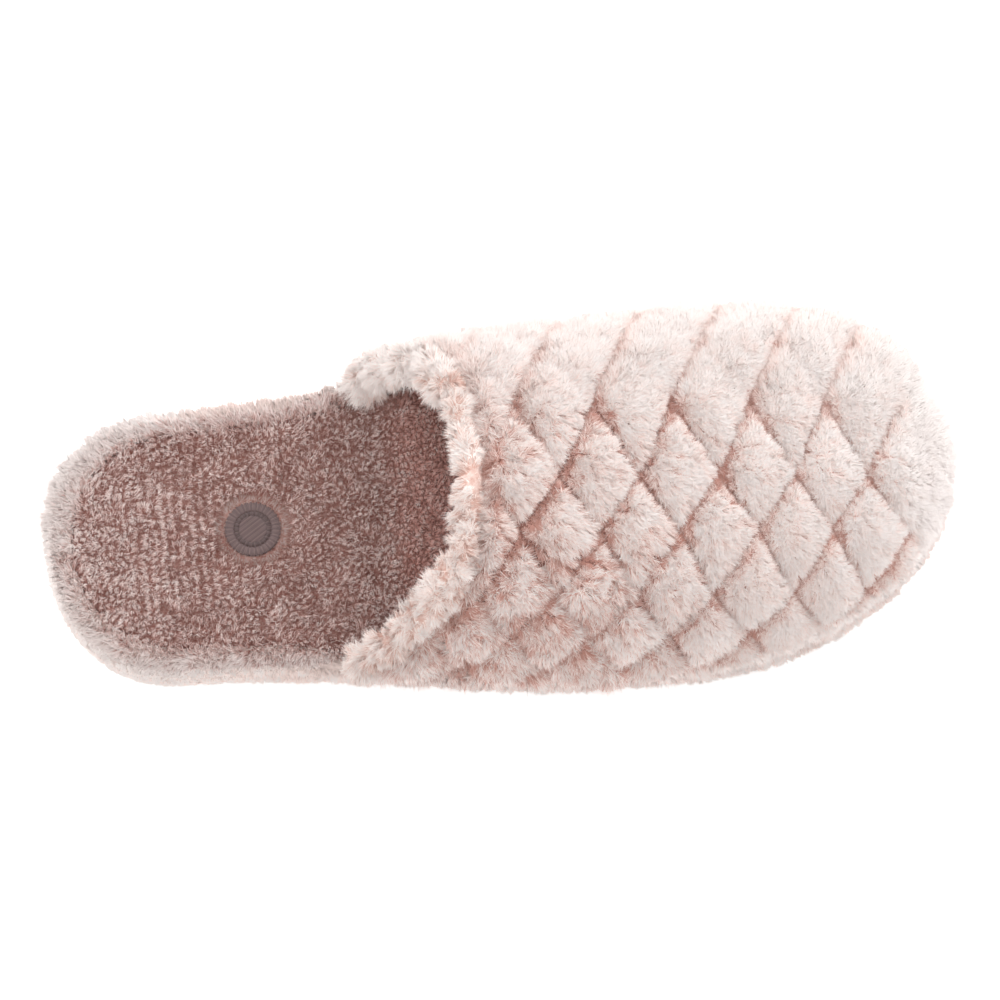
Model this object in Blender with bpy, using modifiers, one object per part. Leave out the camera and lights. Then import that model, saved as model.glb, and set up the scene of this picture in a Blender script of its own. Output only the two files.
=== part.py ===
"""Quilted plush clog slipper for the right foot.

Metres, +X from heel to toe, +Y to the inner side of the foot, +Z up. The origin lies on the floor under the
middle of the slipper. Every length along the foot is measured from the back of the heel.
"""

import math
from bisect import bisect_right
from collections import namedtuple
from functools import lru_cache

import bmesh
import bpy
from mathutils import Vector

LATERAL = -1
MEDIAL = 1

# Driving sizes of the sole
SOLE_LENGTH = 0.261
BALL_WIDTH = 0.106
HEEL_STACK = 0.0215
TOE_SPRING = 0.006
OUTSOLE_THICKNESS = 0.0042
OUTSOLE_INSET = 0.003
TREAD_DEPTH = 0.0014
TREAD_BAR = 0.0095
TREAD_GROOVE = 0.0045
TREAD_MARGIN = 0.004
TREAD_CHANNEL = 0.007
TREAD_CHEVRON = 0.005
TREAD_SLOPE = 0.0005

# Driving sizes of the platform's rim and the footbed
HEEL_RIM_WIDTH = 0.0068
FEATHER_RIM_WIDTH = 0.0052
FOOTBED_DEPTH = 0.0055
FOOTBED_DISH = 0.0026
FOOTBED_PROUD = 0.0004

# Driving sizes of the upper
INSTEP_HEIGHT = 0.0675
FEATHER_INSET = 0.0014
WALL_THICKNESS = 0.003
HOOP_EXPONENT = 2.2
PUFF_HEIGHT = 0.0034
PUFF_FULLNESS = 0.45
PUFF_FADE_AT_FEATHER = 0.009
PUFF_FADE_AT_COLLAR = 0.004
PUFF_FADE_AT_TOE = 0.014
PUFF_FLAT_AT_TOE = 0.006
QUILT_LENGTH = 0.0228
QUILT_GIRTH = 0.041
QUILT_SPLITS = 6
QUILT_SWEEP = 0.0019
THROAT_LENGTH = 0.1235
COLLAR_REACH_LATERAL = 0.0365
COLLAR_REACH_MEDIAL = 0.0275

# Driving sizes of the rolled collar
ROLL_WIDTH = 0.0074
ROLL_THICKNESS = 0.008
ROLL_LIFT = 0.0004

# Driving sizes of the patch on the footbed
PATCH_FROM_HEEL = 0.0596
PATCH_ACROSS = 0.0023
PATCH_RADIUS = 0.0078
PATCH_THICKNESS = 0.0014
PATCH_SINK = 0.0008

# Room left between neighbours, and the distance within which corners are one
GAP = 0.0003
MERGE_DISTANCE = 0.00001

OutlineRow = namedtuple("OutlineRow", "station lateral medial")
LevelRow = namedtuple("LevelRow", "station ground deck")
CrownRow = namedtuple("CrownRow", "station crown")
RimRow = namedtuple("RimRow", "height bare covered")
FootbedRow = namedtuple("FootbedRow", "inset drop")
CollarRow = namedtuple("CollarRow", "station setback")

# Half widths of the sole as shares of half the ball width, by share of the sole's length.
OUTLINE = (
    OutlineRow(0.00, 0.754, 0.745),
    OutlineRow(0.14, 0.756, 0.748),
    OutlineRow(0.21, 0.762, 0.764),
    OutlineRow(0.27, 0.784, 0.766),
    OutlineRow(0.32, 0.812, 0.796),
    OutlineRow(0.40, 0.864, 0.880),
    OutlineRow(0.48, 0.915, 0.948),
    OutlineRow(0.56, 0.945, 0.976),
    OutlineRow(0.64, 0.953, 1.002),
    OutlineRow(0.70, 0.948, 1.034),
    OutlineRow(0.75, 0.940, 1.044),
    OutlineRow(1.00, 0.940, 1.044),
)

# The rounded ends of the outline: how far each reaches along the foot, and how full each side of it is.
HEEL_ROUND = 0.138
TOE_ROUND = {LATERAL: 0.291, MEDIAL: 0.258}
HEEL_FULLNESS = {LATERAL: 2.1, MEDIAL: 2.2}
TOE_FULLNESS = {LATERAL: 1.8, MEDIAL: 2.5}

# Ground line as a share of the toe spring and deck line as a share of the heel stack.
LEVELS = (
    LevelRow(0.00, 0.35, 1.06),
    LevelRow(0.05, 0.08, 1.02),
    LevelRow(0.09, 0.00, 1.00),
    LevelRow(0.28, 0.00, 0.97),
    LevelRow(0.40, 0.30, 0.93),
    LevelRow(0.52, 0.00, 0.87),
    LevelRow(0.66, 0.00, 0.82),
    LevelRow(0.78, 0.00, 0.83),
    LevelRow(0.90, 0.32, 0.92),
    LevelRow(1.00, 1.00, 1.07),
)

# Crown line of the vamp at its stitching, as a share of the instep height.
CROWN = (
    CrownRow(0.30, 1.070),
    CrownRow(0.42, 1.035),
    CrownRow(0.50, 1.000),
    CrownRow(0.60, 0.925),
    CrownRow(0.70, 0.845),
    CrownRow(0.80, 0.760),
    CrownRow(0.90, 0.675),
    CrownRow(1.00, 0.620),
)
TOE_DROP = 0.17
TOE_DROP_FULLNESS = 2.6

# Side of the platform from its foot to its rim: share of its height, then insets as shares of the rim's width.
RIM = (
    RimRow(0.00, 0.50, 0.50),
    RimRow(0.14, 0.14, 0.16),
    RimRow(0.40, 0.00, 0.00),
    RimRow(0.66, 0.06, 0.02),
    RimRow(0.86, 0.28, 0.08),
    RimRow(0.96, 0.56, 0.16),
    RimRow(1.00, 0.84, 0.30),
    RimRow(1.00, 1.00, 1.00),
)
RIM_COVER_START = 0.245
RIM_COVER_END = 0.305

# Top of the footbed from its edge inwards: inset as a share of half the ball width, drop as a share of the dish.
FOOTBED = (
    FootbedRow(0.022, 0.00),
    FootbedRow(0.095, 0.22),
    FootbedRow(0.215, 0.74),
    FootbedRow(0.370, 1.00),
    FootbedRow(0.530, 1.00),
)
FOOTBED_EDGE_DROP = 0.0012

# Collar line from the crown down to the deck: share of the half girth, share of the collar's reach to the heel.
COLLAR = (
    CollarRow(0.00, 0.000),
    CollarRow(0.12, 0.010),
    CollarRow(0.25, 0.060),
    CollarRow(0.38, 0.165),
    CollarRow(0.50, 0.330),
    CollarRow(0.60, 0.500),
    CollarRow(0.70, 0.665),
    CollarRow(0.82, 0.830),
    CollarRow(0.92, 0.935),
    CollarRow(1.00, 1.000),
)

HEEL_STEPS = 8
WAIST_STEPS = 13
TOE_STEPS = 10
HOOP_STEPS = 40
TOE_COLUMNS = 5
SAMPLES = 200
SETTLE_ROUNDS = 16
ROLL_RINGS = 30
ROLL_SIDES = 12
PATCH_SIDES = 40
SNAP = 0.38
SLOPE_PARTS = 100


@lru_cache(maxsize=None)
def column_curve(rows, column):
    """Stations, values and slopes of one column of a table, level where two rows are equal."""
    stations = [row.station for row in rows]
    values = [getattr(row, column) for row in rows]
    steps = [
        (values[k + 1] - values[k]) / (stations[k + 1] - stations[k])
        for k in range(len(rows) - 1)
    ]
    slopes = [steps[0]]
    for before, after in zip(steps, steps[1:]):
        slopes.append(0.0 if before * after <= 0 else 2 * before * after / (before + after))
    slopes.append(steps[-1])
    return stations, values, slopes


def column_value(rows, column, station):
    """Value of one column of a table between its rows."""
    stations, values, slopes = column_curve(rows, column)
    if station <= stations[0]:
        return values[0]
    if station >= stations[-1]:
        return values[-1]
    k = bisect_right(stations, station) - 1
    span = stations[k + 1] - stations[k]
    f = (station - stations[k]) / span
    return (
        values[k] * (1 + 2 * f) * (1 - f) ** 2
        + values[k + 1] * f * f * (3 - 2 * f)
        + span * (slopes[k] * f * (1 - f) ** 2 - slopes[k + 1] * f * f * (1 - f))
    )


def smooth_step(start, end, value):
    """0 up to the start and 1 from the end on, eased between them."""
    f = min(1.0, max(0.0, (value - start) / (end - start)))
    return f * f * (3 - 2 * f)


def mix(a, b, f):
    """The value a share of the way from a to b."""
    return a + (b - a) * f


def side_name(side):
    return "lateral" if side == LATERAL else "medial"


def end_round(station, side):
    """1 along the foot, falling to 0 at the tips of heel and toe."""
    if station < HEEL_ROUND:
        fullness = HEEL_FULLNESS[side]
        away = 1 - station / HEEL_ROUND
    elif station > 1 - TOE_ROUND[side]:
        fullness = TOE_FULLNESS[side]
        away = (station - 1 + TOE_ROUND[side]) / TOE_ROUND[side]
    else:
        return 1.0
    return max(0.0, 1 - min(1.0, away) ** fullness) ** (1 / fullness)


def half_width(station, side):
    """Width from the middle line to one side, before the ends are rounded off."""
    return column_value(OUTLINE, side_name(side), station) * BALL_WIDTH / 2


WIDEST = {
    side: max(end_round(k / SAMPLES, side) * half_width(k / SAMPLES, side) for k in range(SAMPLES + 1))
    for side in (LATERAL, MEDIAL)
}
CENTRE_X = SOLE_LENGTH / 2
CENTRE_Y = (WIDEST[MEDIAL] - WIDEST[LATERAL]) / 2


def placed(x, y, z):
    """A point given from the heel and the foot's middle line, in the slipper's own frame."""
    return Vector((x - CENTRE_X, y - CENTRE_Y, z))


def plan(station, side, inset):
    """Distance from the heel and from the middle line, on the outline moved inwards."""
    x = inset + station * (SOLE_LENGTH - 2 * inset)
    return x, side * end_round(station, side) * (half_width(station, side) - inset)


def ground(x):
    """Height of the underside: on the floor at heel and ball, raised at the arch and the toe."""
    return column_value(LEVELS, "ground", x / SOLE_LENGTH) * TOE_SPRING


def deck(x):
    """Height of the platform's rim."""
    return column_value(LEVELS, "deck", x / SOLE_LENGTH) * HEEL_STACK


def outsole_top(x):
    return ground(x) + OUTSOLE_THICKNESS


def rim_cover(x):
    """0 where the rim is bare at the heel, 1 where the upper stands on it."""
    return smooth_step(RIM_COVER_START, RIM_COVER_END, x / SOLE_LENGTH)


def rim_width(x):
    return mix(HEEL_RIM_WIDTH, FEATHER_RIM_WIDTH, rim_cover(x))


def perimeter_stations():
    """Stations from heel to toe, closer together round the two ends."""
    heel = [HEEL_ROUND * (1 - math.cos(math.pi / 2 * k / HEEL_STEPS)) for k in range(HEEL_STEPS)]
    toe_round = max(TOE_ROUND.values())
    waist = [mix(HEEL_ROUND, 1 - toe_round, k / WAIST_STEPS) for k in range(WAIST_STEPS)]
    toe = [1 - toe_round + toe_round * math.sin(math.pi / 2 * k / TOE_STEPS) for k in range(TOE_STEPS + 1)]
    return heel + waist + toe


def contour(inset_at, height_at):
    """A closed line round the slipper: up the lateral side from the heel's tip, back down the medial side."""
    stations = perimeter_stations()
    walk = [(station, LATERAL) for station in stations]
    walk += [(station, MEDIAL) for station in reversed(stations[1:-1])]
    points = []
    for station, side in walk:
        x, y = plan(station, side, inset_at(station * SOLE_LENGTH))
        points.append(placed(x, y, height_at(x)))
    return points


def finish_solid(name, mesh, material, collection, sharp_angle=40):
    mesh.materials.append(material)
    mesh.shade_smooth()
    mesh.set_sharp_from_angle(angle=math.radians(sharp_angle))
    thing = bpy.data.objects.new(name, mesh)
    collection.objects.link(thing)
    return thing


def solid_mesh(name, points, faces):
    """A closed mesh, with corners that fall together joined and its faces pointing outwards."""
    mesh = bpy.data.meshes.new(name)
    work = bmesh.new()
    corners = [work.verts.new(point) for point in points]
    for face in faces:
        work.faces.new([corners[k] for k in face])
    bmesh.ops.remove_doubles(work, verts=work.verts, dist=MERGE_DISTANCE)
    bmesh.ops.recalc_face_normals(work, faces=work.faces)
    bmesh.ops.triangulate(work, faces=work.faces)
    work.to_mesh(mesh)
    work.free()
    return mesh


def contour_solid(name, loops):
    """Solid between a first and a last contour, both closed by strips from side to side."""
    count = len(loops[0])
    points = [point for loop in loops for point in loop]
    faces = []
    for row in range(len(loops) - 1):
        for k in range(count):
            a = row * count + k
            b = row * count + (k + 1) % count
            faces.append((a, b, b + count, a + count))
    for first in (0, (len(loops) - 1) * count):
        for k in range(count // 2):
            strip = [first + k, first + k + 1, first + (count - k - 1) % count, first + (count - k) % count]
            faces.append(list(dict.fromkeys(strip)))
    return solid_mesh(name, points, faces)


def make_midsole(material, collection):
    """Platform with a rounded side, a rim and a recess that holds the footbed."""
    loops = []
    for row in RIM:
        loops.append(
            contour(
                lambda x, r=row: mix(r.bare, r.covered, rim_cover(x)) * rim_width(x),
                lambda x, r=row: mix(outsole_top(x) + GAP, deck(x), r.height),
            )
        )
    loops.append(contour(rim_width, lambda x: deck(x) - FOOTBED_DEPTH))
    return finish_solid("midsole", contour_solid("midsole", loops), material, collection)


def footbed_top(x, drop):
    return deck(x) + FOOTBED_PROUD - drop * FOOTBED_DISH


def make_insole(material, patch_seat, collection):
    """Footbed in the platform's recess, with a shallow round seat for the patch."""

    def edge(x):
        return rim_width(x) + GAP

    loops = [
        contour(edge, lambda x: deck(x) - FOOTBED_DEPTH + GAP),
        contour(edge, lambda x: deck(x) + FOOTBED_PROUD - FOOTBED_EDGE_DROP),
    ]
    for row in FOOTBED:
        loops.append(
            contour(
                lambda x, r=row: edge(x) + r.inset * BALL_WIDTH / 2,
                lambda x, r=row: footbed_top(x, r.drop),
            )
        )
    insole = finish_solid("insole", contour_solid("insole", loops), material, collection)
    cut = insole.modifiers.new("patch seat", "BOOLEAN")
    cut.operation = "DIFFERENCE"
    cut.solver = "EXACT"
    cut.object = patch_seat
    return insole


def tread_marks():
    """Distances from the heel of the sole's cross-sections, each with the share of the bar's depth there."""
    inner = SOLE_LENGTH - 2 * OUTSOLE_INSET
    pitch = TREAD_BAR + TREAD_GROOVE
    bars = int((inner - 2 * TREAD_GROOVE) / pitch)
    start = OUTSOLE_INSET + (inner - bars * pitch + TREAD_GROOVE) / 2
    end = start + bars * pitch - TREAD_GROOVE
    marks = []
    for bar in range(bars):
        low = start + bar * pitch
        high = low + TREAD_BAR
        marks += [(low, 0.0), (low + TREAD_SLOPE, 1.0), (high - TREAD_SLOPE, 1.0), (high, 0.0)]
    round_ends = [OUTSOLE_INSET + station * inner for station in perimeter_stations()]
    clear = TREAD_GROOVE / 3
    before = [(x, 0.0) for x in round_ends if x < start - clear]
    after = [(x, 0.0) for x in round_ends if x > end + clear]
    return before + marks + after


def tread_side(x, bar, side):
    """Half a cross-section of the outsole, from its upper edge round to the channel along its middle."""
    station = (x - OUTSOLE_INSET) / (SOLE_LENGTH - 2 * OUTSOLE_INSET)
    reach = abs(plan(station, side, OUTSOLE_INSET)[1])
    bar_end = max(0.0, reach - TREAD_MARGIN)
    channel = min(TREAD_CHANNEL / 2, bar_end)
    middle = x + TREAD_CHEVRON * 4 * station * (1 - station)
    plate = ground(x) + TREAD_DEPTH
    return [
        placed(x, side * reach, outsole_top(x)),
        placed(x, side * reach, plate + TREAD_DEPTH / 2),
        placed(x, side * max(0.0, reach - TREAD_DEPTH / 2), plate),
        placed(x, side * bar_end, plate),
        placed(x, side * max(channel, bar_end - TREAD_SLOPE), plate - bar * TREAD_DEPTH),
        placed(middle, side * min(bar_end, channel + TREAD_SLOPE), ground(middle) + (1 - bar) * TREAD_DEPTH),
        placed(middle, side * channel, ground(middle) + TREAD_DEPTH),
    ]


def make_outsole(material, collection):
    """Rubber plate whose underside carries chevron bars on both sides of a middle channel."""
    rings = [
        tread_side(x, bar, LATERAL) + list(reversed(tread_side(x, bar, MEDIAL)))
        for x, bar in tread_marks()
    ]
    count = len(rings[0])
    points = [point for ring in rings for point in ring]
    faces = []
    for ring in range(len(rings) - 1):
        for k in range(count):
            a = ring * count + k
            b = ring * count + (k + 1) % count
            faces.append((a, b, b + count, a + count))
    return finish_solid("outsole", solid_mesh("outsole", points, faces), material, collection, 25)


def toe_drop(station):
    """1 along the vamp, falling to 0 at the tip of the toe."""
    if station <= 1 - TOE_DROP:
        return 1.0
    away = min(1.0, (station - 1 + TOE_DROP) / TOE_DROP)
    return max(0.0, 1 - away**TOE_DROP_FULLNESS) ** (1 / TOE_DROP_FULLNESS)


def feather(x):
    """Height of the upper's lower edge."""
    return deck(x) + GAP


@lru_cache(maxsize=None)
def half_hoop(x, side):
    """Half a hoop over the foot, from the crown to the feather edge: points across and up, and arc lengths."""
    station = min(1.0, max(0.0, (x - FEATHER_INSET) / (SOLE_LENGTH - 2 * FEATHER_INSET)))
    half = end_round(station, side) * (half_width(station, side) - FEATHER_INSET)
    low = feather(x)
    rise = (column_value(CROWN, "crown", station) * INSTEP_HEIGHT - low) * toe_drop(station)
    points = []
    arcs = [0.0]
    for k in range(HOOP_STEPS + 1):
        angle = math.pi / 2 * (1 - k / HOOP_STEPS)
        across = half * max(0.0, math.cos(angle)) ** (2 / HOOP_EXPONENT)
        up = low + rise * max(0.0, math.sin(angle)) ** (2 / HOOP_EXPONENT)
        if points:
            arcs.append(arcs[-1] + math.hypot(across - points[-1][0], up - points[-1][1]))
        points.append((across, up))
    return points, arcs


def half_girth(x, side):
    return half_hoop(x, side)[1][-1]


def vamp_point(x, side, arc):
    """Point of the upper at its stitching, an arc's length away from the crown line."""
    points, arcs = half_hoop(x, side)
    arc = min(arc, arcs[-1])
    k = min(bisect_right(arcs, arc), len(arcs) - 1)
    span = arcs[k] - arcs[k - 1]
    f = (arc - arcs[k - 1]) / span if span > 0 else 0.0
    across = mix(points[k - 1][0], points[k][0], f)
    up = mix(points[k - 1][1], points[k][1], f)
    return placed(x, side * across, up)


def collar_line(share, side):
    """Distance from the heel of the middle of the rolled collar, by share of the half girth."""
    reach = COLLAR_REACH_LATERAL if side == LATERAL else COLLAR_REACH_MEDIAL
    return THROAT_LENGTH - reach * column_value(COLLAR, "setback", share)


def collar_edge(x, side, arc):
    """Distance from the heel at which the upper's wall starts, behind the rolled collar."""
    girth = half_girth(x, side)
    share = min(1.0, arc / max(girth, GAP))
    low = max(0.0, share - 1 / SLOPE_PARTS)
    high = min(1.0, share + 1 / SLOPE_PARTS)
    slope = (collar_line(high, side) - collar_line(low, side)) / ((high - low) * max(girth, GAP))
    return collar_line(share, side) + (ROLL_WIDTH / 2 + GAP) * math.sqrt(1 + slope * slope)


def quilt_sweep(arc):
    """How far the rows of quilting swing towards the heel on their way down the side."""
    return QUILT_SWEEP * (arc / (QUILT_GIRTH / 2)) ** 2 / 2


def quilt_columns():
    """Distances from the heel of the quilting's columns on the crown line, and each one's share of the sweep."""
    cell = QUILT_LENGTH / QUILT_SPLITS
    tip = SOLE_LENGTH - FEATHER_INSET
    first = THROAT_LENGTH + ROLL_WIDTH / 2 - 2 * QUILT_LENGTH
    toe_start = SOLE_LENGTH * (1 - TOE_DROP / 3)
    count = int((toe_start - first) / cell)
    columns = [(first + k * cell, 1.0) for k in range(count + 1)]
    last = columns[-1][0]
    for k in range(1, TOE_COLUMNS + 1):
        turn = math.sin(math.pi / 2 * k / TOE_COLUMNS)
        columns.append((mix(last, tip, turn), 1 - turn))
    return first, columns


def puff(first, along, arc):
    """Height of the quilting over its stitches: 0 on the stitch lines, 1 in the middle of a diamond."""
    length = (along - first) / QUILT_LENGTH
    girth = arc / QUILT_GIRTH
    rise = abs(math.sin(math.pi * (length + girth)) * math.sin(math.pi * (length - girth)))
    return rise**PUFF_FULLNESS


def upper_corner(along, sweep, row):
    """Settles a corner of the quilting on the upper, held inside the collar edge and the feather edge."""
    side = LATERAL if row < 0 else MEDIAL
    cell = QUILT_GIRTH / QUILT_SPLITS
    wanted = abs(row) * cell
    arc = wanted
    x = along
    for _ in range(SETTLE_ROUNDS):
        x = max(along - sweep * quilt_sweep(arc), collar_edge(x, side, arc))
        arc = min(wanted, half_girth(x, side))
    on_feather = half_girth(x, side) - arc < SNAP * cell
    on_collar = along - sweep * quilt_sweep(arc) - collar_edge(x, side, arc) < SNAP * QUILT_LENGTH / QUILT_SPLITS
    for _ in range(SETTLE_ROUNDS):
        if on_feather:
            arc = half_girth(x, side)
        x = collar_edge(x, side, arc) if on_collar else along - sweep * quilt_sweep(arc)
    return side, x, arc, on_feather, on_collar


def make_upper(material, collection):
    """Hollow padded shell: quilted outside, smooth inside, open at the collar and underneath."""
    first, columns = quilt_columns()
    cell = QUILT_GIRTH / QUILT_SPLITS
    vamp = [mix(collar_line(1.0, LATERAL), SOLE_LENGTH, k / SAMPLES) for k in range(SAMPLES)]
    rows = 1 + int(max(half_girth(x, side) for x in vamp for side in (LATERAL, MEDIAL)) / cell)
    points = []
    lift = []
    feather_points = set()
    known = {}
    grid = {}
    for i, (along, sweep) in enumerate(columns):
        for row in range(-rows, rows + 1):
            side, x, arc, on_feather, on_collar = upper_corner(along, sweep, row)
            point = vamp_point(x, side, arc)
            if on_feather:
                point.z = feather(x)
            key = tuple(round(c / (2 * MERGE_DISTANCE)) for c in point)
            if key not in known:
                known[key] = len(points)
                points.append(point)
                to_feather = half_girth(x, side) - arc
                to_collar = x - collar_edge(x, side, arc)
                to_toe = SOLE_LENGTH - x - PUFF_FLAT_AT_TOE
                fade = smooth_step(0.0, PUFF_FADE_AT_FEATHER, to_feather)
                fade *= smooth_step(-PUFF_FADE_AT_COLLAR / 4, PUFF_FADE_AT_COLLAR, to_collar)
                fade *= smooth_step(0.0, PUFF_FADE_AT_TOE, to_toe)
                lift.append(PUFF_HEIGHT * fade * puff(first, x + sweep * quilt_sweep(arc), arc))
            if on_feather:
                feather_points.add(known[key])
            grid[i, row] = known[key]
    faces = []
    for i in range(len(columns) - 1):
        for row in range(-rows, rows):
            near = (grid[i, row], grid[i + 1, row])
            far = (grid[i, row + 1], grid[i + 1, row + 1])
            rising = (i - row) % QUILT_SPLITS == 0
            falling = (i + row + 1) % QUILT_SPLITS == 0
            if not rising and not falling:
                rising = abs(lift[near[0]] - lift[far[1]]) <= abs(lift[near[1]] - lift[far[0]])
            if rising:
                pair = ((near[0], near[1], far[1]), (near[0], far[1], far[0]))
            else:
                pair = ((near[0], near[1], far[0]), (near[1], far[1], far[0]))
            faces += [face for face in pair if len(set(face)) == 3]

    base = bmesh.new()
    corners = [base.verts.new(point) for point in points]
    for face in faces:
        base.faces.new([corners[k] for k in face])
    base.normal_update()
    base.verts.index_update()
    outside = []
    inside = []
    for k, corner in enumerate(corners):
        normal = corner.normal.copy()
        if k in feather_points:
            normal.z = 0.0
            normal.normalize()
        outside.append(corner.co + normal * lift[k])
        inner = corner.co - normal * WALL_THICKNESS
        if k in feather_points:
            inner.z = feather(inner.x + CENTRE_X)
        inside.append(inner)
    rim = [
        (edge.verts[0].index, edge.verts[1].index) for edge in base.edges if edge.is_boundary
    ]
    base.free()
    count = len(points)
    shell = list(faces)
    shell += [(c + count, b + count, a + count) for a, b, c in faces]
    shell += [(a, b, b + count, a + count) for a, b in rim]
    return finish_solid("upper", solid_mesh("upper", outside + inside, shell), material, collection, 60)


def collar_frame(share):
    """Middle, run and outward direction of the rolled collar; share is negative on the lateral side."""

    def at(signed, ahead=0.0):
        side = LATERAL if signed < 0 else MEDIAL
        x = collar_line(abs(signed), side) + ahead
        return vamp_point(x, side, abs(signed) * half_girth(x, side))

    run = (at(min(1.0, share + 1 / SLOPE_PARTS)) - at(max(-1.0, share - 1 / SLOPE_PARTS))).normalized()
    forward = at(share, ROLL_WIDTH / 4) - at(share)
    out = forward.cross(run)
    out -= run * out.dot(run)
    out.normalize()
    return at(share), run, out


def make_collar_roll(material, collection):
    """Rolled edge round the opening, with both ends cut level to stand on the platform."""
    points = []
    for ring in range(ROLL_RINGS + 1):
        share = mix(-1.0, 1.0, ring / ROLL_RINGS)
        middle, run, out = collar_frame(share)
        across = run.cross(out)
        middle = middle + out * ROLL_LIFT
        for k in range(ROLL_SIDES):
            turn = 2 * math.pi * k / ROLL_SIDES
            point = middle + out * (math.cos(turn) * ROLL_THICKNESS / 2)
            point += across * (math.sin(turn) * ROLL_WIDTH / 2)
            if ring in (0, ROLL_RINGS):
                for _ in range(SETTLE_ROUNDS):
                    point = point + run * ((feather(point.x + CENTRE_X) - point.z) / run.z)
            points.append(point)
    faces = []
    for ring in range(ROLL_RINGS):
        for k in range(ROLL_SIDES):
            n = (k + 1) % ROLL_SIDES
            a = ring * ROLL_SIDES
            b = a + ROLL_SIDES
            faces.append((a + k, a + n, b + n, b + k))
    faces.append(tuple(range(ROLL_SIDES)))
    faces.append(tuple(ROLL_RINGS * ROLL_SIDES + k for k in range(ROLL_SIDES)))
    return finish_solid("collar_roll", solid_mesh("collar_roll", points, faces), material, collection)


def patch_level():
    return footbed_top(PATCH_FROM_HEEL, 1.0) - PATCH_SINK


def make_cylinder(name, radius, low, high, collection):
    bpy.ops.mesh.primitive_cylinder_add(vertices=PATCH_SIDES, radius=radius, depth=high - low)
    drum = bpy.context.active_object
    drum.name = name
    drum.location = placed(PATCH_FROM_HEEL, PATCH_ACROSS, (low + high) / 2)
    for owner in drum.users_collection:
        owner.objects.unlink(drum)
    collection.objects.link(drum)
    return drum


def make_patch_seat(collection):
    """Cutter for the round seat that the patch lies in."""
    seat = make_cylinder(
        "patch_seat", PATCH_RADIUS + GAP, patch_level() - GAP, patch_level() + HEEL_STACK, collection
    )
    seat.hide_render = True
    seat.display_type = "WIRE"
    return seat


def make_patch(material, collection):
    """Round embroidered disc, softened at its upper edge."""
    patch = make_cylinder(
        "embroidered_patch", PATCH_RADIUS, patch_level(), patch_level() + PATCH_THICKNESS, collection
    )
    patch.data.materials.append(material)
    soft = patch.modifiers.new("soft edge", "BEVEL")
    soft.width = PATCH_THICKNESS / 4
    soft.segments = 1
    soft.limit_method = "ANGLE"
    return patch


def make_material(name, colour, roughness):
    material = bpy.data.materials.new(name)
    material.use_nodes = True
    shader = material.node_tree.nodes["Principled BSDF"]
    shader.inputs["Base Color"].default_value = (*colour, 1.0)
    shader.inputs["Roughness"].default_value = roughness
    shader.inputs["Metallic"].default_value = 0.0
    return material


def new_collection(name):
    collection = bpy.data.collections.new(name)
    bpy.context.scene.collection.children.link(collection)
    return collection


def main():
    for thing in list(bpy.data.objects):
        bpy.data.objects.remove(thing, do_unlink=True)
    slipper = new_collection("clog_slipper")
    cutters = new_collection("cutters")
    blush_plush = make_material("blush_plush", (0.76, 0.57, 0.53), 0.95)
    mauve_plush = make_material("mauve_plush", (0.36, 0.23, 0.21), 0.95)
    make_outsole(make_material("sole_rubber", (0.30, 0.25, 0.23), 0.7), slipper)
    make_midsole(blush_plush, slipper)
    make_insole(mauve_plush, make_patch_seat(cutters), slipper)
    make_upper(blush_plush, slipper)
    make_collar_roll(blush_plush, slipper)
    make_patch(make_material("patch_thread", (0.19, 0.12, 0.12), 0.6), slipper)


main()
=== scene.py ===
"""Plush, quilting, footbed, embroidered disc and studio of the quilted clog slipper.

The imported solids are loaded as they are. The quilted upper and the rolled collar are made again as dense
padded skins on the same last, and every plush face gets its pile, strand by strand. Metres, +X heel to toe,
+Y to the inner side of a right foot, +Z up.
"""

import math

import bmesh
import bpy
import numpy as np
from bpy.props import FloatProperty, FloatVectorProperty, PointerProperty
from mathutils import Matrix, Vector
from mathutils.bvhtree import BVHTree


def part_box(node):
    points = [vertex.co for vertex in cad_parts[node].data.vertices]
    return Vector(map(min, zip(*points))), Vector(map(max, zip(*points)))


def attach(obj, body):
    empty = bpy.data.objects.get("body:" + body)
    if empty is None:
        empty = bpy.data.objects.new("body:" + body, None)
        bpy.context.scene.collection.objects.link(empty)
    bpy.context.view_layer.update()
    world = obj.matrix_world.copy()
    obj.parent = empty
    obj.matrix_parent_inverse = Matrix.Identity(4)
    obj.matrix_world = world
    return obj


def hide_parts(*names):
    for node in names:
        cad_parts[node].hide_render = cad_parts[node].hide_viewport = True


bl_info = {
    "name": "Quilted plush clog slipper",
    "version": (1, 0, 0),
    "blender": (4, 5, 0),
    "location": "View3D > Sidebar > Slipper",
    "description": "Makes the plush pile, quilting, collar, footbed and embroidered disc of a clog slipper",
    "category": "Object",
}

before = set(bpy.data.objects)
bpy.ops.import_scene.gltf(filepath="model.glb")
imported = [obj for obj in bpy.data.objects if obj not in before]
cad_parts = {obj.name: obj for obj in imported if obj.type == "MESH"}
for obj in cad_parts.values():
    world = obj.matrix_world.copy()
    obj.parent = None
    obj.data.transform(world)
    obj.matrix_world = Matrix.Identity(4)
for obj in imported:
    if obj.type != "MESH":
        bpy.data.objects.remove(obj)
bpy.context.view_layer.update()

# Sizes of the last and the sole, as in the part's source
SOLE_LENGTH = 0.261
BALL_WIDTH = 0.106
HEEL_STACK = 0.0215
TOE_SPRING = 0.006
OUTSOLE_THICKNESS = 0.0042
HEEL_RIM_WIDTH = 0.0068
FEATHER_RIM_WIDTH = 0.0052
INSTEP_HEIGHT = 0.0675
FEATHER_INSET = 0.0014
THROAT_LENGTH = 0.1235
COLLAR_REACH = {-1: 0.0365, 1: 0.0275}
ROLL_WIDTH = 0.0074
ROLL_THICKNESS = 0.008
ROLL_LIFT = 0.0004
PATCH_FROM_HEEL = 0.0596
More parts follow.
